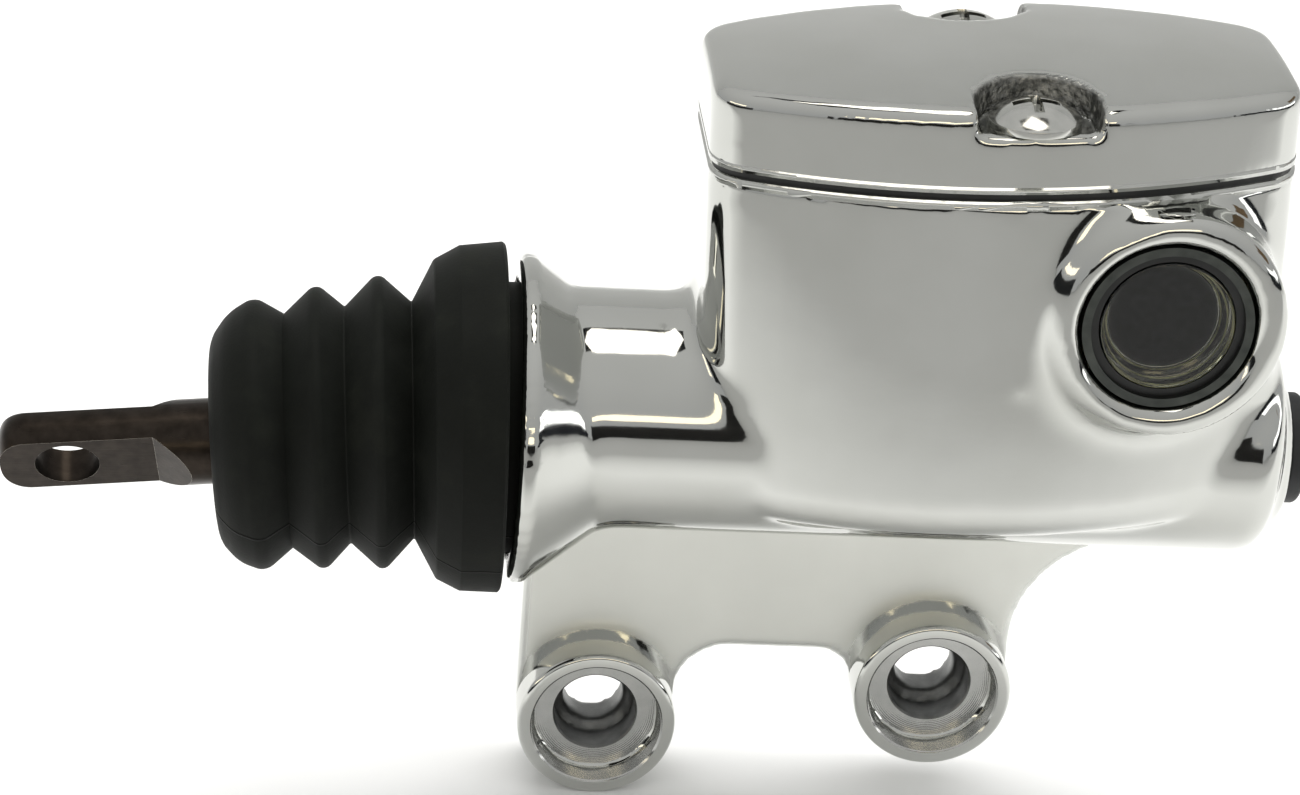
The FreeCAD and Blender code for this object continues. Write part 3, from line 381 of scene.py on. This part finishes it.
def finish_piece(bm, name, materials, body, sharp=None):
    """Turns a bmesh into an object that rides on a CAD body."""
    mesh = bpy.data.meshes.new(name)
    bm.to_mesh(mesh)
    bm.free()
    piece = bpy.data.objects.new(name, mesh)
    bpy.context.scene.collection.objects.link(piece)
    for material in materials:
        mesh.materials.append(material)
    mesh.shade_smooth()
    if sharp:
        mesh.set_sharp_from_angle(angle=math.radians(sharp))
    if body:
        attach(piece, body)
    return piece


def remeshed(bm, voxel):
    """The same closed shape as an even skin of small quads."""
    mesh = bpy.data.meshes.new("skin")
    bm.to_mesh(mesh)
    bm.free()
    holder = bpy.data.objects.new("skin", mesh)
    bpy.context.scene.collection.objects.link(holder)
    modifier = holder.modifiers.new("skin", "REMESH")
    modifier.mode = "VOXEL"
    modifier.voxel_size = voxel
    skin = bpy.data.meshes.new_from_object(holder.evaluated_get(bpy.context.evaluated_depsgraph_get()))
    bpy.data.objects.remove(holder)
    made = bmesh.new()
    made.from_mesh(skin)
    bpy.data.meshes.remove(skin)
    return made


def soften(bm, verts, times):
    """Rounds the picked stretch of skin, as fettling and polishing does."""
    for _ in range(times):
        bmesh.ops.smooth_vert(bm, verts=verts, factor=0.5, use_axis_x=True, use_axis_y=True, use_axis_z=True)


def hollow_verts(bm, spread, keep_out):
    """The skin along inside corners, widened this many rings, but not where keep_out says."""
    picked = {v for e in bm.edges if len(e.link_faces) == 2
              and e.calc_face_angle_signed(0.0) < -HOLLOW_ANGLE for v in e.verts}
    for _ in range(spread):
        picked |= {e.other_vert(v) for v in picked for e in v.link_edges}
    return [v for v in picked if not keep_out(v.co)]


def from_axis(point, axis_point, direction):
    """Distance of a point from an axis."""
    offset = point - axis_point
    return (offset - direction * offset.dot(direction)).length


def unit_range(value):
    return max(0.0, min(1.0, value))


# ---------------------------------------------------------------- settings


class CastingSettings(bpy.types.PropertyGroup):
    voxel: bpy.props.FloatProperty(
        name="Skin size", description="Size of the casting's skin quads", default=0.57 * MM, unit="LENGTH")
    edge_passes: bpy.props.IntProperty(
        name="Edge rounding", description="Smoothing passes over all polished skin", default=5)
    hollow_passes: bpy.props.IntProperty(
        name="Hollow rounding", description="Smoothing passes along inside corners", default=28)
    hollow_rings: bpy.props.IntProperty(
        name="Hollow width", description="Rings of skin either side of an inside corner", default=5)
    cover_voxel: bpy.props.FloatProperty(
        name="Cover skin size", description="Size of the cover's skin quads", default=0.36 * MM,
        unit="LENGTH")
    cover_passes: bpy.props.IntProperty(
        name="Cover edge rounding", description="Smoothing passes over the cover's skin", default=9)


class BootSettings(bpy.types.PropertyGroup):
    segments: bpy.props.IntProperty(name="Segments", description="Facets round the boot", default=144)
    wall: bpy.props.FloatProperty(
        name="Wall", description="Rubber thickness", default=1.1 * MM, unit="LENGTH")
    crest_round: bpy.props.FloatProperty(
        name="Crest rounding", description="Rounding of each fold's crest", default=0.95 * MM, unit="LENGTH")
    valley_round: bpy.props.FloatProperty(
        name="Valley rounding", description="Rounding of each fold's root", default=0.18 * MM, unit="LENGTH")


class FinishSettings(bpy.types.PropertyGroup):
    rubber: bpy.props.FloatVectorProperty(
        name="Rubber", description="Main tone of the boot", default=linear("#121411"),
        size=4, subtype="COLOR")
    rod_dark: bpy.props.FloatVectorProperty(
        name="Rod, dark", description="Darkest tone of the rod's phosphate", default=linear("#2c2723"),
        size=4, subtype="COLOR")
    rod_light: bpy.props.FloatVectorProperty(
        name="Rod, light", description="Lightest tone of the rod's phosphate", default=linear("#3c3631"),
        size=4, subtype="COLOR")


class CameraSettings(bpy.types.PropertyGroup):
    azimuth: bpy.props.FloatProperty(
        name="Azimuth", description="Camera's way round the part", default=math.radians(-5.80),
        subtype="ANGLE")
    elevation: bpy.props.FloatProperty(
        name="Elevation", description="Camera's height above level", default=math.radians(25.10),
        subtype="ANGLE")
    roll: bpy.props.FloatProperty(
        name="Roll", description="Camera's turn about its own line of sight", default=math.radians(4.72),
        subtype="ANGLE")
    distance: bpy.props.FloatProperty(
        name="Distance", description="Camera to the bore's plane", default=393.4 * MM, unit="LENGTH")
    lens: bpy.props.FloatProperty(name="Lens", description="Focal length in millimetres", default=105.2)


def settings(name):
    return getattr(bpy.context.scene, name)


def spun_profile(points, centre, segments, axis=ALONG_X, closed=False):
    """A skin turned about an axis through centre from (along, radius) points."""
    bm = bmesh.new()
    verts = [bm.verts.new(centre + axis * along + Vector((0, 0, radius))) for along, radius in points]
    pairs = list(zip(verts, verts[1:]))
    if closed:
        pairs.append((verts[-1], verts[0]))
    edges = [bm.edges.new(pair) for pair in pairs]
    bmesh.ops.spin(bm, geom=verts + edges, cent=centre, axis=axis, dvec=(0, 0, 0),
                   angle=2 * math.pi, steps=segments, use_merge=True, use_duplicate=False)
    bmesh.ops.remove_doubles(bm, verts=bm.verts, dist=0.001 * MM)
    bmesh.ops.recalc_face_normals(bm, faces=bm.faces)
    return bm


# ---------------------------------------------------------------- castings


def quarter(along, radius, size):
    """Points round an outer corner of a turned profile, from its side to its face."""
    turns = [math.radians(t) for t in range(0, 91, 15)]
    return [(along + size - size * math.sin(t), radius - size + size * math.cos(t)) for t in turns]


def boss_profile(face):
    """Outer skin, rim, counterbore, seat and recess of a bolt boss, as (along, radius)."""
    plate, outer = face + BOSS_RISE, BOSS_RADIUS + 0.02 * MM
    floor, depth = face + SEAT_DEPTH, face + SEAT_DEPTH + RECESS_DEPTH
    edge, rounding = 0.2 * MM, 0.6 * MM
    return [
        (plate + 1.5 * MM, BOSS_RADIUS - 1.0 * MM),
        (plate + 0.5 * MM, outer),
        *quarter(face, outer, rounding),
        (face, SEAT_RADIUS + edge), (face + edge, SEAT_RADIUS),
        (floor - edge, SEAT_RADIUS), (floor, SEAT_RADIUS - edge),
        (floor, RECESS_RADIUS + edge), (floor + edge, RECESS_RADIUS),
        (depth - edge, RECESS_RADIUS), (depth - edge, RECESS_RADIUS + 4 * edge),
    ]


def to_hole(point):
    """Distance of a point from the nearer bolt's axis."""
    return min(from_axis(point, hole, ALONG_Y) for hole in HOLES)


def joint_level():
    """The middle of the cover's joint face, and the leaning joint's normal."""
    low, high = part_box("diaphragm")
    square = Vector((-math.sin(RESERVOIR_LEAN), 0, math.cos(RESERVOIR_LEAN)))
    rise = (high.x - low.x) / 2 * math.tan(RESERVOIR_LEAN)
    return Vector(((low.x + high.x) / 2, BORE.y, high.z - rise)), square


JOINT, JOINT_SQUARE = joint_level()


def at_joint(point):
    """Whether a point of the casting is behind the reservoir's crisp lip."""
    return (point - JOINT).dot(JOINT_SQUARE) > -(GASKET + RIM_LIP - 0.4 * MM)


def machined(point, plate_face):
    """Whether a point of the casting is on a bored, faced or turned surface."""
    at_bolt = to_hole(point) < BOLT_REACH
    at_boss = to_hole(point) < BOSS_REACH and point.y < plate_face - 0.3 * MM
    at_glass = from_axis(point, SIGHT, ALONG_Y) < GLASS_REACH and point.y < SIGHT.y + GLASS_DEPTH
    in_bell = from_axis(point, BORE, ALONG_X) < BELL_REACH and point.x < BALL.x
    at_lip = point.x < BELL_FACE + BELL_LIP
    return at_bolt or at_boss or at_glass or in_bell or at_lip or at_joint(point)


def polish(bm, plate_face, chosen):
    """Fills the inside corners and rounds the skin between the machined surfaces."""
    def crisp(point):
        return machined(point, plate_face) or point.y > -1.2 * MM or point.z < PLATE_TOP

    soften(bm, hollow_verts(bm, chosen.hollow_rings, crisp), chosen.hollow_passes)
    skin = [v for v in bm.verts if not machined(v.co, plate_face)]
    soften(bm, [v for v in skin if v.co.z > PLATE_TOP], chosen.edge_passes)
    soften(bm, [v for v in skin if v.co.z <= PLATE_TOP], 2)
    soften(bm, [v for v in bm.verts if machined(v.co, plate_face)], 1)


def make_room(bm, boss_face):
    """Steps the skin back where a crisp boss or lip covers it, and flattens the plate round them."""
    bmesh.ops.recalc_face_normals(bm, faces=bm.faces)
    bm.normal_update()
    plate_face, recess_floor = boss_face + BOSS_RISE, boss_face + SEAT_DEPTH + RECESS_DEPTH
    covered = 8 * MM
    sunk = [v for v in bm.verts if to_hole(v.co) <= covered and v.co.y < recess_floor - 0.6 * MM]
    sunk += [v for v in bm.verts if at_joint(v.co)]
    for v, normal in [(v, v.normal.copy()) for v in sunk]:
        v.co -= normal * SKIN_SINK
    for v in bm.verts:
        if covered < to_hole(v.co) < covered + 2 * MM and v.co.y < plate_face:
            v.co.y = plate_face


def bolt_boss(side, hole, boss_face, materials):
    """A turned boss with its counterbore and seat; materials are for its skin, seat and recess."""
    centre = Vector((hole.x, 0.0, hole.z))
    bm = spun_profile(boss_profile(boss_face), centre, 128, axis=ALONG_Y, closed=True)
    ring = bm.verts.layers.float.new("ring_radius")
    for v in bm.verts:
        v[ring] = from_axis(v.co, centre, ALONG_Y)
    for face in bm.faces:
        place = face.calc_center_median()
        radius = from_axis(place, centre, ALONG_Y)
        if radius < SEAT_RADIUS + 0.3 * MM and place.y > boss_face + 0.02 * MM:
            face.material_index = 2 if radius < RECESS_RADIUS + 0.1 * MM else 1
    finish_piece(bm, f"boss_{side}", materials, "housing", sharp=32)


class MASTER_OT_housing(bpy.types.Operator):
    """Cast housing with soft cast fillets, machined seats and polished skin"""

    bl_idname = "master.housing"
    bl_label = "Housing"

    def execute(self, context):
        chosen = settings("casting")
        bm = remeshed(merged_copy("housing"), chosen.voxel)
        boss_face = min(v.co.y for v in bm.verts if from_axis(v.co, HOLES[0], ALONG_Y) < BOSS_RADIUS)
        polish(bm, boss_face + BOSS_RISE, chosen)
        make_room(bm, boss_face)
        # the satin mask: the plate's front faces, rougher and also painted paler as painted light
        satin_and_painted_light = bm.verts.layers.float.new("satin_and_painted_light")
        for v in bm.verts:
            faces_front = unit_range((-v.normal.y - 0.9) * 12)
            on_plate = unit_range((PLATE_TOP + 3 * MM - v.co.z) / (6 * MM))
            v[satin_and_painted_light] = faces_front * on_plate
        for face in bm.faces:
            if to_hole(face.calc_center_median()) < RECESS_RADIUS + 0.3 * MM:
                face.material_index = 1
        polished, drilled = polished_casting(), drilled_hole()
        piece = finish_piece(bm, "housing_casting", [polished, drilled], "housing")
        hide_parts("housing")
        materials = [polished, turned_seat(), drilled]
        for side, hole in zip(("left", "right"), HOLES):
            bolt_boss(side, hole, boss_face, materials)
        return {"FINISHED"}


def weigh_faces(piece):
    """Shades large faces flat and leaves the turn to the small ones at their edges."""
    shading = piece.modifiers.new("flat_faces", "WEIGHTED_NORMAL")
    shading.weight = 80


def crisp_slice(node, name, material, level, keep_above):
    """The stretch of a CAD piece above or below this level over the cover's joint face."""
    bm = merged_copy(node)
    geom = bm.verts[:] + bm.edges[:] + bm.faces[:]
    cut = bmesh.ops.bisect_plane(
        bm, geom=geom, dist=0.001 * MM, plane_co=JOINT + JOINT_SQUARE * level, plane_no=JOINT_SQUARE,
        clear_outer=not keep_above, clear_inner=keep_above)
    rims = [e for e in cut["geom_cut"] if isinstance(e, bmesh.types.BMEdge)]
    bmesh.ops.holes_fill(bm, edges=rims, sides=0)
    bmesh.ops.triangulate(bm, faces=[f for f in bm.faces if len(f.verts) > 4])
    bm.normal_update()
    for v, normal in [(v, v.normal.copy()) for v in bm.verts]:
        v.co += normal * 0.02 * MM
    piece = finish_piece(bm, name, [material], "housing", sharp=35)
    weigh_faces(piece)


class MASTER_OT_cover(bpy.types.Operator):
    """Crowned cast cover with two screw pockets"""

    bl_idname = "master.cover"
    bl_label = "Reservoir cover"

    def execute(self, context):
        chosen = settings("casting")
        bm = remeshed(merged_copy("reservoir_cover"), chosen.cover_voxel)
        underside = min(v.co.z for v in bm.verts) + 3 * MM
        soften(bm, [v for v in bm.verts if v.co.z > underside], chosen.cover_passes)
        bmesh.ops.recalc_face_normals(bm, faces=bm.faces)
        skin = bm.verts.layers.float.new("cast_skin")
        screws = [middle("cover_screw_front"), middle("cover_screw_rear")]
        for v in bm.verts:
            to_screw = min(((s - v.co).xy for s in screws), key=lambda away: away.length)
            near = unit_range((POCKET_RADIUS - to_screw.length) / POCKET_FADE)
            faces_screw = unit_range((to_screw.normalized().dot(v.normal.xy) - 0.45) * 3)
            v[skin] = near * faces_screw
        material = bpy.data.materials.get("polished_chromed_casting") or polished_casting()
        piece = finish_piece(bm, "cover_casting", [material], "housing")
        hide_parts("reservoir_cover")
        # the skin is a little round at the joint, so both sides of it get crisp lips
        crisp_slice("reservoir_cover", "cover_lip", material, COVER_LIP, keep_above=False)
        crisp_slice("housing", "reservoir_lip", material, -(GASKET + RIM_LIP), keep_above=True)
        return {"FINISHED"}


# ---------------------------------------------------------------- boot


def round_rings(bm, offset, picked):
    """Bevels the rings of a turned skin that picked(along) accepts."""
    rings = [e for e in bm.edges if abs(e.verts[0].co.x - e.verts[1].co.x) < 0.001 * MM
             and picked(e.verts[0].co.x) and len(e.link_faces) == 2]
    bmesh.ops.bevel(bm, geom=rings, offset=offset, offset_type="OFFSET", segments=5, profile=0.5,
                    affect="EDGES", clamp_overlap=True, material=-1)


def droop_boot(bm, front, end):
    """Bends a straight boot so that its axis runs from the bore's to the drooping rod's; its rim
    sits lower edge in."""
    for v in bm.verts:
        share = unit_range((front - v.co.x) / (front - end))
        bend = share ** 0.8
        drop = (BALL.x - v.co.x) * math.tan(DROOP) * bend
        centre = Vector((v.co.x, BORE.y, BORE.z - drop))
        offset = Vector((0, v.co.y - BORE.y, v.co.z - BORE.z))
        centre.x += (1 - share) * (RIM_SHIFT - RIM_TILT * offset.z)
        v.co = centre + Matrix.Rotation(-DROOP * bend, 3, "Y") @ offset


class MASTER_OT_boot(bpy.types.Operator):
    """Rubber bellows in three stretches: a collar held in the bell mouth, folds, and a tail bent
    along the drooping rod"""

    bl_idname = "master.boot"
    bl_label = "Rubber boot"

    def execute(self, context):
        chosen = settings("boot")
        rubber = boot_rubber()
        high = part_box("boot")[1]
        front = BELL_FACE - BOOT_INSET
        hinge, valley, end = (front - along * MM for along in (COLLAR_END, FOLDS_END, TAIL_END))

        def stretch(name, points, body, crests, valleys=()):
            """A turned stretch of skin; crests and valleys are where its folds turn."""
            points = [(front - along * MM, radius * MM) for along, radius in points]
            bm = spun_profile(points, BORE, chosen.segments)
            for turns, radius in ((crests, chosen.crest_round), (valleys, chosen.valley_round)):
                places = [front - along * MM for along in turns]
                round_rings(bm, radius, lambda x: any(abs(x - place) < 0.01 * MM for place in places))
            bmesh.ops.solidify(bm, geom=bm.faces[:], thickness=chosen.wall)
            bmesh.ops.recalc_face_normals(bm, faces=bm.faces)
            droop_boot(bm, front, end)
            return finish_piece(bm, name, [rubber], body, sharp=38)

        lip = (front - high.x) / MM + 0.2
        collar = stretch("boot_collar", [
            (lip, 14.0), (0.0, 14.0), (0.0, 17.9), (0.3, 18.15), (COLLAR_END, COLLAR_RADIUS),
        ], "housing", crests=(), valleys=(0.0,))
        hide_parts("boot")
        fold = stretch("boot_folds", [
            (COLLAR_END, COLLAR_RADIUS), (6.9, 16.5), (9.1, 12.2), (12.4, 15.5), (15.7, 12.2), (18.5, 14.9),
            (FOLDS_END, FOLDS_RADIUS),
        ], "housing", crests=(12.4, 18.5), valleys=(6.9, 9.1, 15.7))
        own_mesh(fold)
        tail = stretch("boot_tail", [
            (FOLDS_END, FOLDS_RADIUS), (24.6, 14.2), (27.2, 12.9), (29.0, 10.6), (TAIL_END, 4.7),
        ], None, crests=(24.6, 27.2, 29.0))
        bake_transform(tail)
        return {"FINISHED"}


# ---------------------------------------------------------------- small pieces


def crisp_copy(node, name, materials, body, edge, angle=28):
    """A CAD piece with the small broken edges that machining or moulding gives; a second
    material goes on the broken edges."""
    bm = merged_copy(node)
    bmesh.ops.dissolve_limit(bm, angle_limit=math.radians(0.5), verts=bm.verts, edges=bm.edges)
    piece = finish_piece(bm, name, materials, body, sharp=angle)
    bevel = piece.modifiers.new("broken_edges", "BEVEL")
    bevel.width = edge
    bevel.segments = 2
    bevel.limit_method = "ANGLE"
    bevel.angle_limit = math.radians(angle)
    bevel.use_clamp_overlap = True
    bevel.material = len(materials) - 1 if len(materials) > 1 else -1
    weigh_faces(piece)
    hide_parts(node)
    return piece


class MASTER_OT_rod(bpy.types.Operator):
    """Phosphated push rod with broken edges"""

    bl_idname = "master.rod"
    bl_label = "Push rod"

    def execute(self, context):
        rubbed = plain_metal("rubbed_steel_edge", "#c4beb4", "#e4dfd4", 0.22, 0.5 * MM)
        crisp_copy("pushrod", "push_rod", [rod_steel(), rubbed], "pushrod", 0.3 * MM)
        return {"FINISHED"}


class MASTER_OT_fasteners(bpy.types.Operator):
    """Cover screws and the plug in the outlet"""

    bl_idname = "master.fasteners"
    bl_label = "Screws and plug"

    def execute(self, context):
        chrome = chromed_screw()
        for place in ("front", "rear"):
            crisp_copy(f"cover_screw_{place}", f"screw_{place}", [chrome], "housing",
                       0.12 * MM)
        crisp_copy("outlet_plug", "transit_plug", [plug_plastic()], "housing", 0.2 * MM)
        return {"FINISHED"}


class MASTER_OT_sight_glass(bpy.types.Operator):
    """Clear lens, its seal, its ring and the dark disc behind it"""

    bl_idname = "master.sight_glass"
    bl_label = "Sight glass"

    def execute(self, context):
        crisp_copy("sight_glass_lens", "sight_lens", [clear_lens()], "housing", 0.35 * MM)
        back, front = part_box("sight_glass_reflector")[0].y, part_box("sight_glass_lens")[0].y
        straw = lens_edge()
        for number, (radius, share) in enumerate(((5.75, 0.0), (6.2, 0.45), (6.6, 0.72))):
            along = back + (front - back) * share - 0.25 * MM
            ring = spun_profile([
                (along - 0.11 * MM, radius * MM), (along, (radius + 0.11) * MM),
                (along + 0.11 * MM, radius * MM), (along, (radius - 0.11) * MM),
            ], Vector((SIGHT.x, 0.0, SIGHT.z)), 96, axis=ALONG_Y, closed=True)
            finish_piece(ring, f"lens_step_{number + 1}", [straw], "housing")
        finishes = {
            "sight_glass_reflector": disc_plastic(),
            "sight_glass_seal": seal_rubber(),
            "sight_glass_retainer": plain_metal("phosphated_ring", "#474a48", "#585b58", 0.42, 0.4 * MM),
        }
        for node, material in finishes.items():
            dress(node, material)
        return {"FINISHED"}


def dress(node, material):
    """Gives a CAD piece its finish."""
    mesh = frame["nodes"][node].data
    mesh.materials.clear()
    mesh.materials.append(material)


class MASTER_OT_inner_parts(bpy.types.Operator):
    """Piston, cups, rings, baffle, diaphragm and the return spring"""

    bl_idname = "master.inner_parts"
    bl_label = "Inner parts"

    def execute(self, context):
        rubber = bpy.data.materials.get("moulded_nitrile") or seal_rubber()
        zinc = plain_metal("zinc_plated_steel", "#a9adb0", "#c6c9cb", 0.25, 0.7 * MM)
        wire = plain_metal("drawn_spring_wire", "#6a6c6e", "#8b8d8f", 0.3, 0.4 * MM)
        anodised = plain_metal("clear_anodised_aluminium", "#b3aa8c", "#c9c2a8", 0.32, 0.5 * MM)
        for node in ("diaphragm", "primary_cup", "secondary_cup"):
            dress(node, rubber)
        for node in ("cup_backing_washer", "spring_seat", "stop_washer", "port_baffle"):
            dress(node, zinc)
        dress("circlip", wire)
        dress("piston", anodised)
        coil = finish_piece(merged_copy("return_spring"), "spring_coil", [wire], "housing",
                            sharp=40)
        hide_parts("return_spring")
        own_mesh(coil)
        return {"FINISHED"}


# ---------------------------------------------------------------- stage


def backdrop(floor_level):
    """A pale sweep: floor, and a wall that curves up well behind the part; the floor is painted
    darker towards the front, a painted shade.
    """
    bm = bmesh.new()
    depth, width, height, radius = 1.6, 4.0, 1.6, 0.6
    profile = [(-depth, 0.0), (depth - radius, 0.0)]
    for step in range(1, 9):
        turn = math.radians(90 * step / 8)
        profile.append((depth - radius + radius * math.sin(turn), radius - radius * math.cos(turn)))
    profile.append((depth, height))
    verts = [bm.verts.new((-width / 2, y, floor_level + z)) for y, z in profile]
    edges = [bm.edges.new(pair) for pair in zip(verts, verts[1:])]
    made = bmesh.ops.extrude_edge_only(bm, edges=edges)
    moved = [v for v in made["geom"] if isinstance(v, bmesh.types.BMVert)]
    bmesh.ops.translate(bm, verts=moved, vec=(width, 0, 0))
    mesh = bpy.data.meshes.new("sweep")
    bm.to_mesh(mesh)
    bm.free()
    mesh.shade_smooth()
    sweep = bpy.data.objects.new("sweep", mesh)
    bpy.context.scene.collection.objects.link(sweep)
    made, tree, shader = new_material("pale_paper", Specular_IOR_Level=0.2)
    place = add(tree, "ShaderNodeTexCoord").outputs["Object"]
    back = add(tree, "ShaderNodeSeparateXYZ", {0: place}).outputs["Y"]
    # painted shade: the floor gets darker towards the front, standing for less light there
    near = add(tree, "ShaderNodeMapRange", {"Value": back, "From Min": -0.17, "From Max": -0.09})
    tone = ramp(tree, near.outputs["Result"], [(0.0, "#b2b2b1"), (1.0, "#f6f6f5")])
    set_input(tree, shader, "Base Color", tone)
    set_input(tree, shader, "Roughness", blend_value(tree, grain(tree, 2 * MM), 0.85, 0.95))
    mesh.materials.append(made)


def soft_box(name, place, target, width, height, power, colour="#ffffff", mirrored=False):
    """A rectangular soft light that the camera doesn't see; mirrored ones show in the metal."""
    data = bpy.data.lights.new(name, "AREA")
    data.shape = "RECTANGLE"
    data.size, data.size_y = width, height
    data.energy = power
    data.color = linear(colour)[:3]
    lamp = bpy.data.objects.new(name, data)
    lamp.location = place
    lamp.rotation_euler = (Vector(target) - Vector(place)).to_track_quat("-Z", "Y").to_euler()
    lamp.visible_camera = False
    lamp.visible_glossy = mirrored
    bpy.context.scene.collection.objects.link(lamp)


def mirrored_card(name, bm, colour, glow=0.0):
    """Puts a studio card on the stage; it shows only in the polished metal."""
    mesh = bpy.data.meshes.new(name)
    bm.to_mesh(mesh)
    bm.free()
    card = bpy.data.objects.new(name, mesh)
    bpy.context.scene.collection.objects.link(card)
    tone = linear(colour)
    mesh.materials.append(new_material(
        name + "_card", Roughness=0.9, Base_Color=tone, Emission_Color=tone, Emission_Strength=glow)[0])
    for hidden in ("visible_camera", "visible_shadow", "visible_diffuse"):
        setattr(card, hidden, False)


def arc_card(name, radius, low, high, start, end, colour, glow=0.0):
    """A band of card round the part, from start to end degrees to the right of its front."""
    bm = bmesh.new()
    first = Matrix.Rotation(math.radians(start), 3, "Z") @ Vector((0, -radius, 0))
    verts = [bm.verts.new(first + Vector((0, 0, z))) for z in (low, high)]
    edge = bm.edges.new(verts)
    bmesh.ops.spin(bm, geom=verts + [edge], cent=(0, 0, 0), axis=(0, 0, 1), dvec=(0, 0, 0),
                   angle=math.radians(end - start), steps=12, use_merge=False, use_duplicate=False)
    mirrored_card(name, bm, colour, glow)


def flat_card(name, place, width, depth, colour):
    """A level card over the part."""
    bm = bmesh.new()
    bmesh.ops.create_grid(bm, x_segments=1, y_segments=1, size=0.5)
    bmesh.ops.scale(bm, verts=bm.verts, vec=(width, depth, 1))
    bmesh.ops.translate(bm, verts=bm.verts, vec=place)
    mirrored_card(name, bm, colour)


def studio_walls(scene):
    """A pale grey room, a little brighter overhead."""
    world = bpy.data.worlds.new("studio")
    world.use_nodes = True
    tree = world.node_tree
    way = add(tree, "ShaderNodeTexCoord").outputs["Generated"]
    up = add(tree, "ShaderNodeSeparateXYZ", {0: way}).outputs["Z"]
    shell = tree.nodes["Background"]
    tone = ramp(tree, up, [(0.0, "#bfc0c0"), (0.5, "#cdcdcb"), (1.0, "#dadad8")])
    tree.links.new(tone, shell.inputs["Color"])
    shell.inputs["Strength"].default_value = 0.95
    scene.world = world


class MASTER_OT_stage(bpy.types.Operator):
    """Camera, sweep and soft lights"""

    bl_idname = "master.stage"
    bl_label = "Stage"

    def execute(self, context):
        chosen = settings("camera_view")
        target = Vector((2.17 * MM, BORE.y, 43.66 * MM))
        azimuth, elevation = chosen.azimuth, chosen.elevation
        back = Vector((math.sin(azimuth) * math.cos(elevation), -math.cos(azimuth) * math.cos(elevation),
                       math.sin(elevation)))
        data = bpy.data.cameras.new("camera")
        data.lens = chosen.lens
        data.sensor_width = 36.0
        data.clip_start = 0.01
        camera = bpy.data.objects.new("camera", data)
        turn = back.to_track_quat("Z", "Y").to_matrix() @ Matrix.Rotation(chosen.roll, 3, "Z")
        camera.matrix_world = Matrix.Translation(target + back * chosen.distance) @ turn.to_4x4()
        context.scene.collection.objects.link(camera)
        context.scene.camera = camera
        floor_level = CAD_BOUNDS[0].z
        backdrop(floor_level)
        studio_walls(context.scene)
        context.scene.view_settings.view_transform = "Standard"
        aim = (0.0, 0.0, 0.04)
        soft_box("overhead", (0.05, 0.30, 0.80), aim, 0.9, 0.7, 6.0)
        soft_box("front_left", (-0.75, -0.75, 0.55), aim, 0.5, 0.6, 1.6)
        soft_box("right", (0.9, -0.35, 0.45), aim, 0.5, 0.7, 1.6)
        soft_box("ceiling_lamp", (0.02, 0.02, 0.95), aim, 0.42, 0.34, 1.3, "#fffaf0", mirrored=True)
        flat_card("lamp_frame", (0.02, 0.02, 0.97), 0.56, 0.46, "#17181a")
        arc_card("dark_front", 1.0, floor_level, 0.17, -24, 30, "#1b1a19")
        arc_card("dark_left", 1.0, floor_level, 0.14, -88, -40, "#15171a")
        arc_card("dark_right", 1.0, floor_level + 0.02, 0.10, 52, 100, "#12161e")
        arc_card("warm_front", 1.0, 0.25, 0.37, -20, 24, "#fff1d2", glow=1.6)
        arc_card("warm_left", 1.0, 0.20, 0.29, -80, -46, "#fff4dc", glow=1.4)
        arc_card("white_right", 1.0, 0.11, 0.20, 60, 104, "#ffffff", glow=1.5)
        arc_card("brown_right", 1.0, 0.30, 0.48, 84, 112, "#6d5a44")
        return {"FINISHED"}


# ---------------------------------------------------------------- panel and run


OPERATORS = (
    MASTER_OT_stage, MASTER_OT_housing, MASTER_OT_cover, MASTER_OT_boot, MASTER_OT_rod,
    MASTER_OT_fasteners, MASTER_OT_sight_glass, MASTER_OT_inner_parts,
)
GROUPS = {
    "casting": CastingSettings, "boot": BootSettings, "finish": FinishSettings, "camera_view": CameraSettings,
}


class MASTER_PT_panel(bpy.types.Panel):
    """Lists the pieces and their sizes"""

    bl_label = "Master cylinder"
    bl_idname = "MASTER_PT_panel"
    bl_space_type = "VIEW_3D"
    bl_region_type = "UI"
    bl_category = "Master cylinder"

    def draw(self, context):
        for operator in OPERATORS:
            self.layout.operator(operator.bl_idname)
        for name, group in GROUPS.items():
            for field in group.__annotations__:
                self.layout.prop(getattr(context.scene, name), field)


def register():
    for made in (*GROUPS.values(), *OPERATORS, MASTER_PT_panel):
        bpy.utils.register_class(made)
    for name, group in GROUPS.items():
        setattr(bpy.types.Scene, name, bpy.props.PointerProperty(type=group))


def unregister():
    for name in GROUPS:
        delattr(bpy.types.Scene, name)
    for made in (MASTER_PT_panel, *reversed(OPERATORS), *reversed(list(GROUPS.values()))):
        bpy.utils.unregister_class(made)


def main():
    register()
    for operator in OPERATORS:
        area, name = operator.bl_idname.split(".")
        getattr(getattr(bpy.ops, area), name)()


if __name__ == "__main__":
    main()
